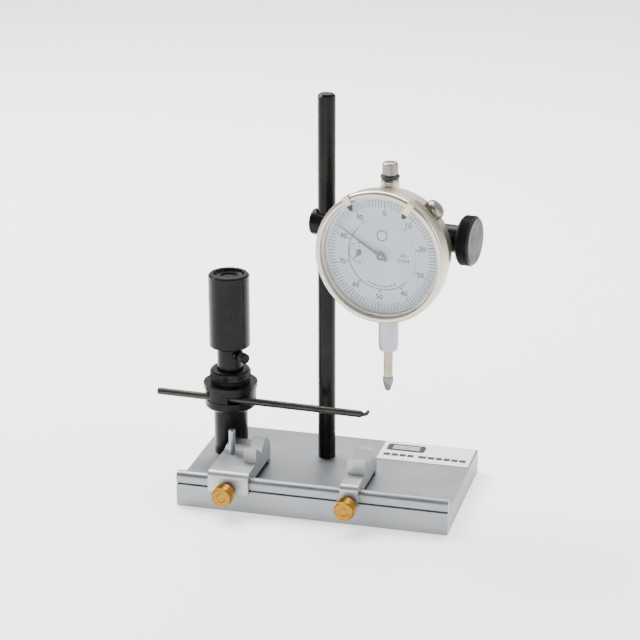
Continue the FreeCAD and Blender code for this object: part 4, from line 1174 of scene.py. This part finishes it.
@dataclass
class Studio:
    """The floor, the light and the camera."""

    eye: tuple[float, float, float] = (0.2331, -0.8927, 0.4240)
    aim: tuple[float, float, float] = (-0.2421, 0.9079, -0.3422)
    roll: float = math.radians(-0.11)
    lens: float = 115.4
    lit: tuple[float, float, float] = (0.0, 0.0, 0.08)

    def build(self) -> None:
        """Builds the whole studio."""
        self.camera()
        self.floor()
        self.world()
        for name, place, size, watts in (("key", (-0.7, 0.35, 1.0), 0.6, 26.0),
                                         ("top", (0.0, 0.55, 1.15), 0.8, 20.0),
                                         ("fill", (1.1, -0.2, 0.55), 0.8, 8.0),
                                         ("front", (-0.1, -1.5, 0.12), 0.7, 12.0)):
            self.area(name, place, size, watts)

    def camera(self) -> None:
        """The camera at the fitted viewpoint."""
        data = bpy.data.cameras.new("camera")
        data.lens = self.lens
        data.sensor_width = 36.0
        data.clip_start = 0.01
        camera = new_object("camera", data)
        turn = Vector(self.aim).to_track_quat("-Z", "Y").to_matrix().to_4x4()
        camera.matrix_world = (Matrix.Translation(self.eye) @ turn @ Matrix.Rotation(self.roll, 4, "Z"))
        bpy.context.scene.camera = camera

    def floor(self) -> None:
        """A plain pale floor."""
        mesh = bpy.data.meshes.new("floor")
        corner, side = -6.0, 12.0
        mesh.from_pydata([(x, y, 0.0) for x, y in rectangle(corner, corner, side, side)], [], [(0, 1, 2, 3)])
        board, shader, _ = new_material("floor_paper")
        board.fill(shader, {"Base Color": (0.93, 0.93, 0.92, 1.0), "Emission Color": (1.0, 1.0, 1.0, 1.0),
                            "Emission Strength": 1.15, "Roughness": 0.9, "Specular IOR Level": 0.1})
        floor = dress(new_object("floor", mesh), board.material)

    def world(self) -> None:
        """A pale surround, darker on the camera's side."""
        world = bpy.data.worlds.new("surround")
        bpy.context.scene.world = world
        world.use_nodes = True
        background = world.node_tree.nodes["Background"]
        board = Board(world.node_tree)
        where = board.node("ShaderNodeTexCoord", None, None, "Generated")
        behind = Wire(board, board.place("ShaderNodeSeparateXYZ", None, {"Vector": where}).outputs[1])
        board.fill(background, {"Strength": 0.2 + 0.8 * behind.smooth(-0.2, 0.6),
                                "Color": (1.0, 1.0, 0.99, 1.0)})

    def area(self, name: str, place: tuple[float, float, float], size: float, watts: float) -> None:
        """A soft square light aimed at the stand.

        Args:
            name: its name.
            place: where it is.
            size: its side.
            watts: its power.
        """
        data = bpy.data.lights.new(name, "AREA")
        data.energy = watts
        data.size = size
        light = new_object(name, data)
        aim = Vector(self.lit) - Vector(place)
        light.matrix_world = Matrix.Translation(place) @ aim.to_track_quat("-Z", "Y").to_matrix().to_4x4()


def main() -> None:
    """Builds every sub-assembly in order and reports it."""
    Studio().build()
    finishes = Finishes()
    for assembly in (Base, Blocks, PostStack, Clamp, Indicator):
        log.info("building %s", assembly.__name__)
        assembly(finishes).build()


if __name__ == "__main__":
    main()
